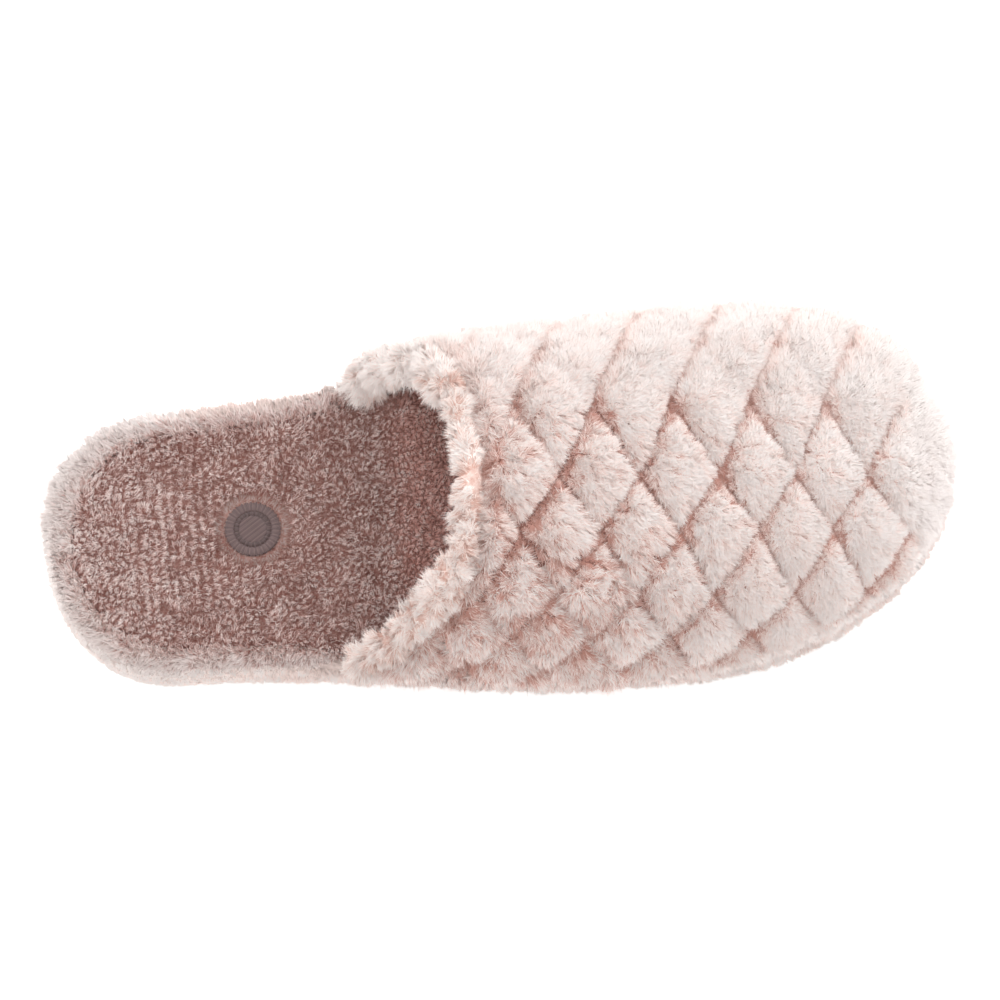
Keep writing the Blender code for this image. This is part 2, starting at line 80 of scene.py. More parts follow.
PATCH_ACROSS = 0.0023
PATCH_RADIUS = 0.0078
GAP = 0.0003
HEEL_ROUND = 0.138
TOE_ROUND = {-1: 0.291, 1: 0.258}
HEEL_FULLNESS = {-1: 2.1, 1: 2.2}
TOE_FULLNESS = {-1: 1.8, 1: 2.5}
HOOP_EXPONENT = 2.2
TOE_DROP = 0.17
TOE_DROP_FULLNESS = 2.6
RIM_COVER_START = 0.245
RIM_COVER_END = 0.305
PUFF_FULLNESS = 0.45
HOOP_STEPS = 90
QUILT_SETBACK = 0.0017
POCKET_OFFSET = 0.0014
POCKET_RADIUS = 0.0030

# Steps of the grids that the skins are made on, and the runs that the upper's pile is planted in
SHARES = 171
LENGTHS = 151
TOEWARD_CLOSER = 1.45
ROLL_RINGS = 241
ROLL_SIDES = 28
PERIMETER_STEPS = 260
PLATFORM_LEVELS = 34
FOOTBED_ROWS = 250
FOOTBED_COLUMNS = 121
FOOTBED_END = 0.97
WELD = 0.00001
UPPER_RUNS = (("side", 0, 43), ("lateral", 42, 86), ("medial", 85, 129), ("inner", 128, SHARES))

# How the pile lies: the way it is combed, how far a strand keeps its own facing, and its rows
COMBED = np.array([0.62, -0.60, -0.50])
OWN_FACING = 0.3
RIB_PITCH = 0.0030
LEAN_REACH = 0.011
FOOTBED_ROW_PITCH = 0.0029
FOOTBED_PARTING = 0.069

# Each pile's habits: how far a strand's tip bends over and its light comes from above, its width, the size of
# the tufts, how far strands draw into them, how deep the painted shade in the gaps between them is, how far
# strands stray, how much they differ in tone, how they twist and face the sky, and how long the tufts are along
# the combing
HABIT_NAMES = ("Bend", "Lift", "Width", "Tuft Size", "Tufting", "Parting", "Fray", "Tone Spread")
HABIT_NAMES += ("Twist", "Skyward", "Lock")
HABITS = {
    "upper": (0.10, 0.25, 0.00030, 0.00210, 0.55, 0.95, 0.40, 0.48, 0.2, 0.9, 0.45),
    "upper side": (0.10, 0.25, 0.00030, 0.00170, 0.55, 0.95, 0.40, 0.48, 0.2, 0.9, 0.45),
    "collar": (0.20, 1.80, 0.00030, 0.00300, 1.15, 1.25, 0.50, 0.46, 0.3, 0.5, 0.0),
    "platform": (0.12, 0.40, 0.00034, 0.00230, 0.80, 0.85, 0.35, 0.34, 0.4, 0.7, 0.0),
    "footbed": (0.10, 1.20, 0.00030, 0.00135, 0.72, 1.90, 0.30, 0.90, 0.6, 0.6, 0.0),
}

# Where, along the slipper, the footbed's pile takes a warm painted shade inside the upper, and the backing
# turns paler at the toe
PAINTED_SHADE_START = -0.034
PAINTED_SHADE_FADE = 0.010
TOE_START = 0.035
TOE_FADE = 0.050

# The disc's embroidery: a satin border, a ring inside it and level rows
BORDER_STITCHES = 92
BORDER_INNER = 0.0055
BORDER_OVERHANG = 0.0003
RAGGED = 0.0002
RING_STITCHES = 56
RING_INNER = 0.0041
RING_OUTER = 0.0053
ROW_PITCH = 0.00048
ROW_COUNT = 8
ROW_TURN = 0.6
SHORTEST_ROW = 0.0004
STITCH_HALF_WIDTH = 0.00025
STITCH_RISE = 0.0005
STITCH_CLEARANCE = 0.00005
GOLDEN_ANGLE = 2.399

# The camera looks at AIM from AIM_DISTANCE away with the fill light before it, and the floor lies FLOOR_DROP
# under the sole
AIM = Vector((0.00105, -0.00034, 0.03))
AIM_DISTANCE = 1.2
FILL_DISTANCE = 1.1
FLOOR_DROP = 0.0002
FLOOR_SIZE = 4.0


def table(names, *rows):
    """Columns of a table by their names."""
    return dict(zip(names.split(), np.array(rows).T))


# Half widths of both sides, as shares of half the ball's width
OUTLINE = table(
    "station lateral medial",
    (0.00, 0.754, 0.745),
    (0.14, 0.756, 0.748),
    (0.21, 0.762, 0.764),
    (0.27, 0.784, 0.766),
    (0.32, 0.812, 0.796),
    (0.40, 0.864, 0.880),
    (0.48, 0.915, 0.948),
    (0.56, 0.945, 0.976),
    (0.64, 0.953, 1.002),
    (0.70, 0.948, 1.034),
    (0.75, 0.940, 1.044),
    (1.00, 0.940, 1.044),
)

# Height of the sole off the ground, as a share of the toe spring, and of the deck, as one of the heel's stack
LEVELS = table(
    "station ground deck",
    (0.00, 0.35, 1.06),
    (0.05, 0.08, 1.02),
    (0.09, 0.00, 1.00),
    (0.28, 0.00, 0.97),
    (0.40, 0.30, 0.93),
    (0.52, 0.00, 0.87),
    (0.66, 0.00, 0.82),
    (0.78, 0.00, 0.83),
    (0.90, 0.32, 0.92),
    (1.00, 1.00, 1.07),
)

# Height of the upper along its middle, as a share of the instep's
CROWN = table(
    "station crown",
    (0.30, 1.070),
    (0.42, 1.035),
    (0.50, 1.000),
    (0.60, 0.925),
    (0.70, 0.845),
    (0.80, 0.760),
    (0.90, 0.675),
    (1.00, 0.620),
)

# The platform's side from the outsole up: height as a share of it, and how far it lies in, as a share of the
# rim's width, where it is bare and where the upper covers it
RIM = table(
    "station height bare covered",
    (0.00, 0.00, 0.50, 0.50),
    (0.14, 0.14, 0.14, 0.16),
    (0.32, 0.40, 0.00, 0.00),
    (0.50, 0.66, 0.06, 0.02),
    (0.66, 0.86, 0.28, 0.08),
    (0.78, 0.96, 0.56, 0.16),
    (0.88, 1.00, 0.84, 0.30),
    (1.00, 1.00, 1.00, 1.00),
)

# How far the collar lies behind the throat, as a share of its reach, at shares of half the girth
COLLAR = table(
    "station setback",
    (0.00, 0.000),
    (0.12, 0.010),
    (0.25, 0.060),
    (0.38, 0.165),
    (0.50, 0.330),
    (0.60, 0.500),
    (0.70, 0.665),
    (0.82, 0.830),
    (0.92, 0.935),
    (1.00, 1.000),
)

# Where the rows of crossing stitches lie, in metres round the foot from its crown
QUILT_ROWS = table(
    "round_foot row",
    (-0.0790, -2.5),
    (-0.0640, -2.0),
    (-0.0496, -1.5),
    (-0.0372, -1.0),
    (-0.0188, -0.5),
    (-0.0032, 0.0),
    (0.0193, 0.5),
    (0.0380, 1.0),
    (0.0570, 1.5),
    (0.0760, 2.0),
    (0.0950, 2.5),
)


def column(rows, name, station):
    """Values of a table's column at stations, on a curve that keeps level where its rows are equal."""
    knots, values = rows["station"], rows[name]
    steps = np.diff(values) / np.diff(knots)
    slopes = np.zeros(len(knots))
    slopes[0], slopes[-1] = steps[0], steps[-1]
    before, after = steps[:-1], steps[1:]
    same_way = before * after > 0
    slopes[1:-1][same_way] = (2 * before * after)[same_way] / (before + after)[same_way]
    at = np.clip(np.asarray(station, float), knots[0], knots[-1])
    k = np.clip(np.searchsorted(knots, at, side="right") - 1, 0, len(knots) - 2)
    span = knots[k + 1] - knots[k]
    f = (at - knots[k]) / span
    g = 1 - f
    ends = values[k] * (1 + 2 * f) * g * g + values[k + 1] * f * f * (3 - 2 * f)
    return ends + span * (slopes[k] * f * g * g - slopes[k + 1] * f * f * g)


def ease(start, end, value):
    """0 up to the start and 1 from the end on, eased between them."""
    f = np.clip((np.asarray(value, float) - start) / (end - start), 0.0, 1.0)
    return f * f * (3 - 2 * f)


def mix(a, b, f):
    return a + (b - a) * f


def by_side(side, pair):
    """What belongs to each side, from a pair kept under -1 for lateral and 1 for medial."""
    return np.where(np.asarray(side) < 0, pair[-1], pair[1])


def end_round(station, side):
    """1 along the foot, falling to 0 at the tips of heel and toe."""
    heel, toe = HEEL_ROUND, by_side(side, TOE_ROUND)
    at_heel = 1 - station / heel
    at_toe = (station - 1 + toe) / toe
    fullness = np.where(station < heel, by_side(side, HEEL_FULLNESS), by_side(side, TOE_FULLNESS))
    away = np.clip(np.maximum(at_heel, at_toe), 0.0, 1.0)
    return (1 - away**fullness) ** (1 / fullness)


def half_width(station, side):
    lateral = column(OUTLINE, "lateral", station)
    medial = column(OUTLINE, "medial", station)
    return np.where(np.asarray(side) < 0, lateral, medial) * BALL_WIDTH / 2


def widest(side):
    station = np.arange(201) / 200
    return float((end_round(station, side) * half_width(station, side)).max())


CENTRE = np.array([SOLE_LENGTH / 2, (widest(1) - widest(-1)) / 2, 0.0])


def placed(x, y, z):
    """Points given from the heel and the foot's middle line, in the slipper's own frame."""
    return np.stack(np.broadcast_arrays(x, y, z), -1) - CENTRE


def plan(station, side, inset):
    x = inset + station * (SOLE_LENGTH - 2 * inset)
    return x, side * end_round(station, side) * (half_width(station, side) - inset)


def ground(x):
    return column(LEVELS, "ground", x / SOLE_LENGTH) * TOE_SPRING


def deck(x):
    return column(LEVELS, "deck", x / SOLE_LENGTH) * HEEL_STACK


def rim_cover(x):
    return ease(RIM_COVER_START, RIM_COVER_END, x / SOLE_LENGTH)


def rim_width(x):
    return mix(HEEL_RIM_WIDTH, FEATHER_RIM_WIDTH, rim_cover(x))


def toe_drop(station):
    away = np.clip((station - 1 + TOE_DROP) / TOE_DROP, 0.0, 1.0)
    return (1 - away**TOE_DROP_FULLNESS) ** (1 / TOE_DROP_FULLNESS)


def half_hoops(x, side):
    """Half hoops over the foot from the crown to the feather edge: across, up and arc length at each step."""
    station = np.clip((x - FEATHER_INSET) / (SOLE_LENGTH - 2 * FEATHER_INSET), 0.0, 1.0)
    half = end_round(station, side) * (half_width(station, side) - FEATHER_INSET)
    low = deck(x) + GAP
    rise = (column(CROWN, "crown", station) * INSTEP_HEIGHT - low) * toe_drop(station)
    turn = math.pi / 2 * np.arange(HOOP_STEPS + 1) / HOOP_STEPS
    across = half[:, None] * np.clip(np.sin(turn), 0, 1) ** (2 / HOOP_EXPONENT)
    up = low[:, None] + rise[:, None] * np.clip(np.cos(turn), 0, 1) ** (2 / HOOP_EXPONENT)
    steps = np.hypot(np.diff(across, axis=1), np.diff(up, axis=1))
    arcs = np.concatenate([np.zeros((len(x), 1)), np.cumsum(steps, axis=1)], axis=1)
    return across, up, arcs


def vamp(x, side, share):
    """Points of the upper at its stitching and the arc from the crown there, at shares of the half girth."""
    across, up, arcs = half_hoops(x, side)
    wanted = share * arcs[:, -1]
    k = np.clip((arcs < wanted[:, None]).sum(axis=1), 1, HOOP_STEPS)
    rows = np.arange(len(x))
    span = np.maximum(arcs[rows, k] - arcs[rows, k - 1], 1e-9)
    f = np.clip((wanted - arcs[rows, k - 1]) / span, 0.0, 1.0)
    y = mix(across[rows, k - 1], across[rows, k], f)
    z = mix(up[rows, k - 1], up[rows, k], f)
    return placed(x, side * y, z), wanted


def collar_line(share, side):
    """Distance from the heel of the collar's middle, at shares of half the girth."""
    return THROAT_LENGTH - by_side(side, COLLAR_REACH) * column(COLLAR, "setback", share)


def collar_edge(share, side):
    """Distance from the heel at which the upper's wall starts, behind the rolled collar."""
    x = collar_line(share, side)
    low, high = np.clip(share - 0.01, 0, 1), np.clip(share + 0.01, 0, 1)
    rise = (collar_line(high, side) - collar_line(low, side)) / (high - low)
    for _ in range(4):
        girth = half_hoops(x, side)[2][:, -1]
        x = collar_line(share, side) + (ROLL_WIDTH / 2 + GAP) * np.sqrt(1 + (rise / girth) ** 2)
    return x


def unit(vectors):
    return vectors / np.maximum(np.linalg.norm(vectors, axis=-1, keepdims=True), 1e-12)


def grid_normals(points):
    """Outward normals of a grid of points, rows from heel to toe and columns from lateral to medial."""
    along = np.gradient(points, axis=0)
    over = np.gradient(points, axis=1)
    return unit(np.cross(along, over))


def value_noise(points, size, seed):
    """Smooth noise from -1 to 1 at points, with lumps of about the given size."""
    at = np.asarray(points, float) / size + 100.0
    cell = np.floor(at).astype(np.int64)
    f = at - cell
    f = f * f * (3 - 2 * f)
    total = np.zeros(at.shape[:-1])
    for corner in range(8):
        step = np.array([corner & 1, corner >> 1 & 1, corner >> 2 & 1])
        c = cell + step
        h = c[..., 0] * 73856093 ^ c[..., 1] * 19349663 ^ c[..., 2] * 83492791
        h = (h ^ seed * 2654435761) & 0xFFFFFFFF
        h = (h ^ h >> 15) * 2246822519 & 0xFFFFFFFF
        h = (h ^ h >> 13) * 3266489917 & 0xFFFFFFFF
        lump = ((h ^ h >> 16) & 0xFFFFFF) / float(0xFFFFFF) * 2 - 1
        weight = np.prod(np.where(step == 1, f, 1 - f), axis=-1)
        total += lump * weight
    return total


def noise_vectors(points, size, seed):
    """Three noises as one vector at each point."""
    return np.stack([value_noise(points, size, seed + k) for k in range(3)], -1)


class Wire:
    """A socket in a node tree whose arithmetic adds Math nodes."""

    def __init__(self, graph, socket):
        self.graph = graph
        self.socket = socket

    def _math(self, operation, a, b):
        return self.graph.add("ShaderNodeMath", {"operation": operation}, {0: a, 1: b})

    def __add__(self, other):
        return self._math("ADD", self, other)

    __radd__ = __add__

    def __sub__(self, other):
        return self._math("SUBTRACT", self, other)

    def __rsub__(self, other):
        return self._math("SUBTRACT", other, self)

    def __mul__(self, other):
        return self._math("MULTIPLY", self, other)

    __rmul__ = __mul__

    def __truediv__(self, other):
        return self._math("DIVIDE", self, other)

    def __rtruediv__(self, other):
        return self._math("DIVIDE", other, self)

    def clamp(self):
        return self._math("MINIMUM", self._math("MAXIMUM", self, 0.0), 1.0)


class Graph:
    """A node tree of a material or of Geometry Nodes, filled one node at a time."""

    def __init__(self, tree):
        self.tree = tree

    def feed(self, socket, value):
        if isinstance(value, Wire):
            self.tree.links.new(value.socket, socket)
        elif value is not None:
            socket.default_value = value

    def node(self, kind, settings=None, values=None):
        made = self.tree.nodes.new(kind)
        for name, value in (settings or {}).items():
            if name == "stops":
                ramp = made.color_ramp
                while len(ramp.elements) < len(value):
                    ramp.elements.new(0.5)
                for element, (at, colour) in zip(ramp.elements, value):
                    element.position = at
                    element.color = (*colour, 1.0)
            else:
                setattr(made, name, value)
        for name, value in (values or {}).items():
            self.feed(made.inputs[name], value)
        return made

    def add(self, kind, settings=None, values=None, output=0):
        made = self.node(kind, settings, values)
        return Wire(self, made.outputs[output])

    def vector(self, operation, a, b=None, scale=None):
        values = {0: a}
        if b is not None:
            values[1] = b
        if scale is not None:
            values["Scale"] = scale
        return self.add("ShaderNodeVectorMath", {"operation": operation}, values)

    def blend(self, factor, a, b):
        values = {"Factor": factor, 6: colour4(a), 7: colour4(b)}
        return self.add("ShaderNodeMix", {"data_type": "RGBA"}, values, 2)

    def place(self):
        return self.add("ShaderNodeTexCoord", output="Object")

    def split(self, vector):
        parts = self.node("ShaderNodeSeparateXYZ", None, {0: vector}).outputs
        return [Wire(self, part) for part in parts]

    def noise(self, where, scale, detail, roughness=None):
        values = {"Vector": where, "Scale": scale, "Detail": detail, "Roughness": roughness}
        return self.add("ShaderNodeTexNoise", None, values)


def colour4(value):
    return value if isinstance(value, Wire) else (*tuple(value)[:3], 1.0)


def scaled(colour, share):
    """A colour made darker or paler by a share."""
    return tuple(min(1.0, c * share) for c in colour)


def new_material(name, constants):
    """A material with its Principled shader and output, its constant sockets set, and the graph to fill."""
    material = bpy.data.materials.new(name)
    material.use_nodes = True
    tree = material.node_tree
    tree.nodes.clear()
    graph = Graph(tree)
    shader = graph.node("ShaderNodeBsdfPrincipled", None, constants)
    output = graph.node("ShaderNodeOutputMaterial")
    tree.links.new(shader.outputs["BSDF"], output.inputs["Surface"])
    return material, graph, shader.inputs


def strand_material(name, root, middle, tip, edge, painted_glow, by_height=0.38, inside=None, pressed=None):
    """Pile: deep at the root, pale at the tip, another colour where its tone passes 1 or where it is pressed
    and darkened with painted shade, and a painted glow that stands in for light scattered inside the pile.
    """
    constants = {
        # The emission is a painted glow, which stands in for light scattered inside the pile and warms its
        # shade
        "Emission Color": (*painted_glow, 1.0),
        "Emission Strength": 1.0,
        "Roughness": 0.9,
        "Specular IOR Level": 0.15,
        "Sheen Weight": 0.2,
        "Sheen Roughness": 0.5,
        "Sheen Tint": (1.0, 0.93, 0.90, 1.0),
    }
    material, graph, inputs = new_material(name, constants)
    tone, height, _ = graph.split(graph.add("ShaderNodeUVMap", {"uv_map": "pile_map"}))
    stops = [(0.05, root), (0.42, middle), (0.9, tip)]
    level = (height * by_height + tone * (1 - by_height)).clamp()
    ramp = graph.add("ShaderNodeValToRGB", {"stops": stops}, {0: level})
    where = graph.place()
    patches = graph.noise(where, 95.0, 2.0)
    shade = graph.blend((patches - 0.35).clamp() * 0.35, ramp, middle)
    # Inside the upper the pile turns towards a warm painted shade colour, standing in for the shade there
    if inside is not None:
        along = graph.split(where)[0]
        shade = graph.blend(((along - PAINTED_SHADE_START) / PAINTED_SHADE_FADE).clamp() * 0.5, shade, inside)
    # Past a tone of 1 the pile turns to its edge colour, which is painted light on the upper's toe and the
    # collar's inner arm
    shade = graph.blend((tone - 1.0).clamp(), shade, edge)
    # The pressed colour is pile pressed flat in a hollow, darkened with painted shade
    if pressed is not None:
        shade = graph.blend((-0.8 - tone).clamp() * 0.85, shade, pressed)
    graph.feed(inputs["Base Color"], shade)
    facing = graph.add("ShaderNodeAttribute", {"attribute_name": "pile_out"}, output=1)
    graph.feed(inputs["Normal"], facing)
    return material


def fleece_material(name, deep, pale, scale=900.0, height=0.0004, toe=None):
    """Backing of the pile, and plain short fleece: mottled tufts with a bump of their own."""
    constants = {"Roughness": 0.95, "Specular IOR Level": 0.1, "Sheen Weight": 0.3}
    material, graph, inputs = new_material(name, constants)
    where = graph.place()
    tufts = graph.noise(where, scale, 3.0, 0.65)
    drift = graph.noise(where, scale / 9, 2.0)
    mottle = (tufts * 1.6 - 0.45 + (drift - 0.5) * 0.5).clamp()
    shade = graph.blend(mottle, deep, pale)
    if toe is not None:
        along = graph.split(where)[0]
        shade = graph.blend(((along - TOE_START) / TOE_FADE).clamp(), shade, toe)
    graph.feed(inputs["Base Color"], shade)
    bump = graph.add("ShaderNodeBump", None, {"Strength": 0.9, "Distance": height, "Height": tufts})
    graph.feed(inputs["Normal"], bump)
    return material


def rubber_material(colour):
    """Moulded rubber with a fine grain and scuffed high spots."""
    material, graph, inputs = new_material("moulded_rubber", {})
    where = graph.place()
    grain = graph.noise(where, 2600.0, 2.0)
    cloud = graph.noise(where, 60.0, 4.0)
    graph.feed(inputs["Base Color"], graph.blend((cloud * 1.8 - 0.4).clamp(), colour, scaled(colour, 1.35)))
    graph.feed(inputs["Roughness"], cloud * 0.25 + 0.55)
    bump = graph.add("ShaderNodeBump", None, {"Strength": 0.5, "Distance": 0.0001, "Height": grain})
    graph.feed(inputs["Normal"], bump)
    return material


def thread_material(name, dark, pale):
    """Embroidery thread with a soft gloss, and a painted highlight along the crown of each stitch."""
    material, graph, inputs = new_material(name, {"Roughness": 0.5, "Sheen Weight": 0.3})
    tone, height, _ = graph.split(graph.add("ShaderNodeUVMap", {"uv_map": "pile_map"}))
    graph.feed(inputs["Base Color"], graph.blend((tone * 0.6 + height * 0.4).clamp(), dark, pale))
    return material


def dress(node_name, material):
    """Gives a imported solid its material, in place of the plain one."""
    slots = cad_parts[node_name].data.materials
    slots.clear()
    slots.append(material)


def link(name, mesh):
    thing = bpy.data.objects.new(name, mesh)
    bpy.context.scene.collection.objects.link(thing)
    return thing


def plain_mesh(name, points, faces):
    mesh = bpy.data.meshes.new(name)
    mesh.from_pydata(np.asarray(points, float).reshape(-1, 3).tolist(), [], faces)
    return mesh


def joined_mesh(name, points, faces, slots=None):
    """A smooth mesh from points and faces, with corners that fall together joined."""
    mesh = plain_mesh(name, points, faces)
    if slots is not None:
        mesh.polygons.foreach_set("material_index", np.asarray(slots, np.int32))
    work = bmesh.new()
    work.from_mesh(mesh)
    bmesh.ops.remove_doubles(work, verts=work.verts, dist=WELD)
    bmesh.ops.dissolve_degenerate(work, edges=work.edges, dist=WELD / 10)
    work.to_mesh(mesh)
    work.free()
    mesh.shade_smooth()
    return mesh


def grid_faces(rows, columns, offset=0, turned=False, wrap=False):
    """Faces of a grid of points, turned over or closed round if asked."""
    faces = []
    for i in range(rows - 1):
        for k in range(columns if wrap else columns - 1):
            a = offset + i * columns + k
            b = offset + i * columns + (k + 1) % columns
            face = (a, a + columns, b + columns, b)
            faces.append(face[::-1] if turned else face)
    return faces


def store(mesh, label, kind, values):
    """Keeps a value for each point of a mesh, or one value for all of them, as an attribute."""
    stored = mesh.attributes.new(label, kind, "POINT")
    if np.ndim(values) == 0:
        values = np.full(len(mesh.vertices), values)
    slot = "vector" if kind == "FLOAT_VECTOR" else "value"
    stored.data.foreach_set(slot, np.asarray(values, np.float32).reshape(-1))


def emitter(name, points, faces, out, nap, length, density, tone, shag):
    """A surface that isn't kept, with its pile's facing, lie, length, thickness and tone on its points."""
    mesh = plain_mesh(name, points, faces)
    store(mesh, "pile_out", "FLOAT_VECTOR", out)
    store(mesh, "pile_nap", "FLOAT_VECTOR", nap)
    store(mesh, "pile_length", "FLOAT", length)
    store(mesh, "pile_density", "FLOAT", density)
    store(mesh, "pile_tone", "FLOAT", tone)
    store(mesh, "pile_shag", "FLOAT", shag)
    mesh.shade_smooth()
    return link(name, mesh)


def strand_shape(bend):
    """One flat tapering strand of unit length and width, bent over at its tip."""
    mesh = plain_mesh("strand", [(-0.5, 0, 0), (0.5, 0, 0), (0, -bend, 1)], [(1, 0, 2)])
    store(mesh, "strand_height", "FLOAT", (0, 0, 1))
    mesh.shade_smooth()
    return link("strand", mesh)


def pile_tree():
    """Geometry Nodes that plant strands on a surface, lean them with the nap and draw them into tufts."""
    tree = bpy.data.node_groups.new("plush_pile", "GeometryNodeTree")
    face = tree.interface
    kinds = {"Geometry": "Geometry", "Strand": "Object", "Material": "Material", "Seed": "Int"}
    for name in ("Geometry", "Strand", "Material", "Density", "Length", *HABIT_NAMES[2:], "Seed"):
        face.new_socket(name, in_out="INPUT", socket_type="NodeSocket" + kinds.get(name, "Float"))
    face.new_socket("Geometry", in_out="OUTPUT", socket_type="NodeSocketGeometry")
    g = Graph(tree)
    given = g.node("NodeGroupInput")
    inputs = {socket.name: Wire(g, socket) for socket in given.outputs if socket.name}

    def stored(name, kind="FLOAT"):
        made = g.node("GeometryNodeInputNamedAttribute", {"data_type": kind}, {"Name": name})
        return Wire(g, made.outputs[0])

    def drawn(low, high, step):
        seed = inputs["Seed"] + step
        return g.add("FunctionNodeRandomValue", {"data_type": "FLOAT"}, {2: low, 3: high, "Seed": seed}, 1)

    def drawn_way(step):
        values = {0: (-1, -1, -1), 1: (1, 1, 1), "Seed": inputs["Seed"] + step}
        return g.add("FunctionNodeRandomValue", {"data_type": "FLOAT_VECTOR"}, values)

    # Where strands stand
    thickness = inputs["Density"] * stored("pile_density")
    planted = g.node(
        "GeometryNodeDistributePointsOnFaces",
        {"distribute_method": "RANDOM"},
        {"Mesh": inputs["Geometry"], "Density": thickness, "Seed": inputs["Seed"]},
    )
    points = Wire(g, planted.outputs["Points"])
    normal = Wire(g, planted.outputs["Normal"])

    # The tufts are cells, drawn out along the combing
    place = g.add("GeometryNodeInputPosition")
    combed = tuple(unit(COMBED))
    far_along = g.add("ShaderNodeVectorMath", {"operation": "DOT_PRODUCT"}, {0: place, 1: combed}, 1)
    squeezed = g.vector("SUBTRACT", place, g.vector("SCALE", combed, scale=far_along * inputs["Lock"]))
    cells = g.node(
        "ShaderNodeTexVoronoi",
        {"voronoi_dimensions": "3D", "feature": "F1"},
        {"Vector": squeezed, "Scale": 1.0 / inputs["Tuft Size"]},
    )
    heart = Wire(g, cells.outputs["Position"])
    parting = Wire(g, cells.outputs["Distance"])

    # A strand leans with the nap and to the heart of its tuft, and strays a little
    tufting = inputs["Tufting"] * stored("pile_shag") / inputs["Tuft Size"]
    pull = g.vector("SCALE", g.vector("SUBTRACT", heart, squeezed), scale=tufting)
    loose = g.vector("SCALE", drawn_way(11), scale=inputs["Fray"])
    way = g.vector("ADD", g.vector("ADD", stored("pile_nap", "FLOAT_VECTOR"), pull), loose)
    leaning = g.add("FunctionNodeAlignRotationToVector", {"axis": "Z"}, {"Vector": way})
    above = g.vector("ADD", normal, g.vector("SCALE", (0.0, 0.0, 1.0), scale=inputs["Skyward"]))
    turned = g.vector("ADD", above, g.vector("SCALE", drawn_way(23), scale=inputs["Twist"]))
    faced = g.add(
        "FunctionNodeAlignRotationToVector",
        {"axis": "Y", "pivot_axis": "Z"},
        {"Rotation": leaning, "Vector": turned},
    )

    # No two are of one size, and those between two tufts are deeper in tone, with painted shade in the gaps
    length = inputs["Length"] * stored("pile_length") * drawn(0.7, 1.15, 37)
    width = inputs["Width"] * drawn(0.7, 1.3, 41)
    scale = g.add("ShaderNodeCombineXYZ", None, {0: width, 1: length, 2: length})
    unmoved = {"transform_space": "ORIGINAL"}
    strand = g.add("GeometryNodeObjectInfo", unmoved, {"Object": inputs["Strand"]}, "Geometry")
    copies = g.add(
        "GeometryNodeInstanceOnPoints",
        None,
        {"Points": points, "Instance": strand, "Rotation": faced, "Scale": scale},
    )
    gap_shade = (parting - 0.4) * inputs["Parting"] * stored("pile_shag")
    tone = stored("pile_tone") + drawn(-1.0, 1.0, 53) * inputs["Tone Spread"] * stored("pile_shag") - gap_shade
    toned = g.add(
        "GeometryNodeStoreNamedAttribute",
        {"data_type": "FLOAT", "domain": "INSTANCE"},
        {"Geometry": copies, "Name": "strand_tone", "Value": tone},
    )
    whole = g.add("GeometryNodeRealizeInstances", None, {"Geometry": toned})
    pair = g.add("ShaderNodeCombineXYZ", None, {0: stored("strand_tone"), 1: stored("strand_height")})
    mapped = g.add(
        "GeometryNodeStoreNamedAttribute",
        {"data_type": "FLOAT2", "domain": "CORNER"},
        {"Geometry": whole, "Name": "pile_map", "Value": pair},
    )
    painted = g.add("GeometryNodeSetMaterial", None, {"Geometry": mapped, "Material": inputs["Material"]})
    g.node("NodeGroupOutput", None, {0: painted})
    return tree


def riding(piece, slot_name, *nodes):
    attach(piece, "root")
    if nodes:
        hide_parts(*nodes)
    return piece


def grown(name, ground_piece, material, settings, habit, seed, slot_name="blush_plush"):
    """The pile of one surface as a plain mesh that rides on the slipper, lit as the surface is."""
    tree = bpy.data.node_groups.get("plush_pile") or pile_tree()
    given = dict(zip(HABIT_NAMES, HABITS[habit]))
    strand, lift = strand_shape(given.pop("Bend")), given.pop("Lift")
    given.update(Strand=strand, Material=material, Seed=seed, Density=settings.density, Length=settings.pile)
    growing = ground_piece.modifiers.new("pile", "NODES")
    growing.node_group = tree
    keys = {item.name: item.identifier for item in tree.interface.items_tree if item.in_out == "INPUT"}
    for label, value in given.items():
        growing[keys[label]] = value
    bpy.context.view_layer.update()
    evaluated = ground_piece.evaluated_get(bpy.context.evaluated_depsgraph_get())
    mesh = bpy.data.meshes.new_from_object(evaluated)
    mesh.name = name
    out = np.zeros(len(mesh.vertices) * 3, np.float32)
    own = np.zeros_like(out)
    mesh.attributes["pile_out"].data.foreach_get("vector", out)
    mesh.vertices.foreach_get("normal", own)
    # Light falls on a strand as on the surface it stands on, partly turned to the sky and to its own side
    out, own = unit(unit(out.reshape(-1, 3)) + np.array([0.0, 0.0, lift])), own.reshape(-1, 3)
    own = own * np.where((own * out).sum(-1, keepdims=True) < 0, -1.0, 1.0)
    facing = unit(mix(out, own, OWN_FACING))
    mesh.normals_split_custom_set_from_vertices(facing.tolist())
    mesh.attributes["pile_out"].data.foreach_set("vector", facing.reshape(-1))
    for label in [item.name for item in mesh.attributes]:
        if label.startswith(("pile_", "strand_")) and label not in ("pile_out", "pile_map"):
            mesh.attributes.remove(mesh.attributes[label])
    ground_piece.modifiers.clear()
    bpy.data.objects.remove(ground_piece)
    bpy.data.objects.remove(strand)
    mesh.materials.clear()
    mesh.materials.append(material)
    return riding(link(name, mesh), slot_name)


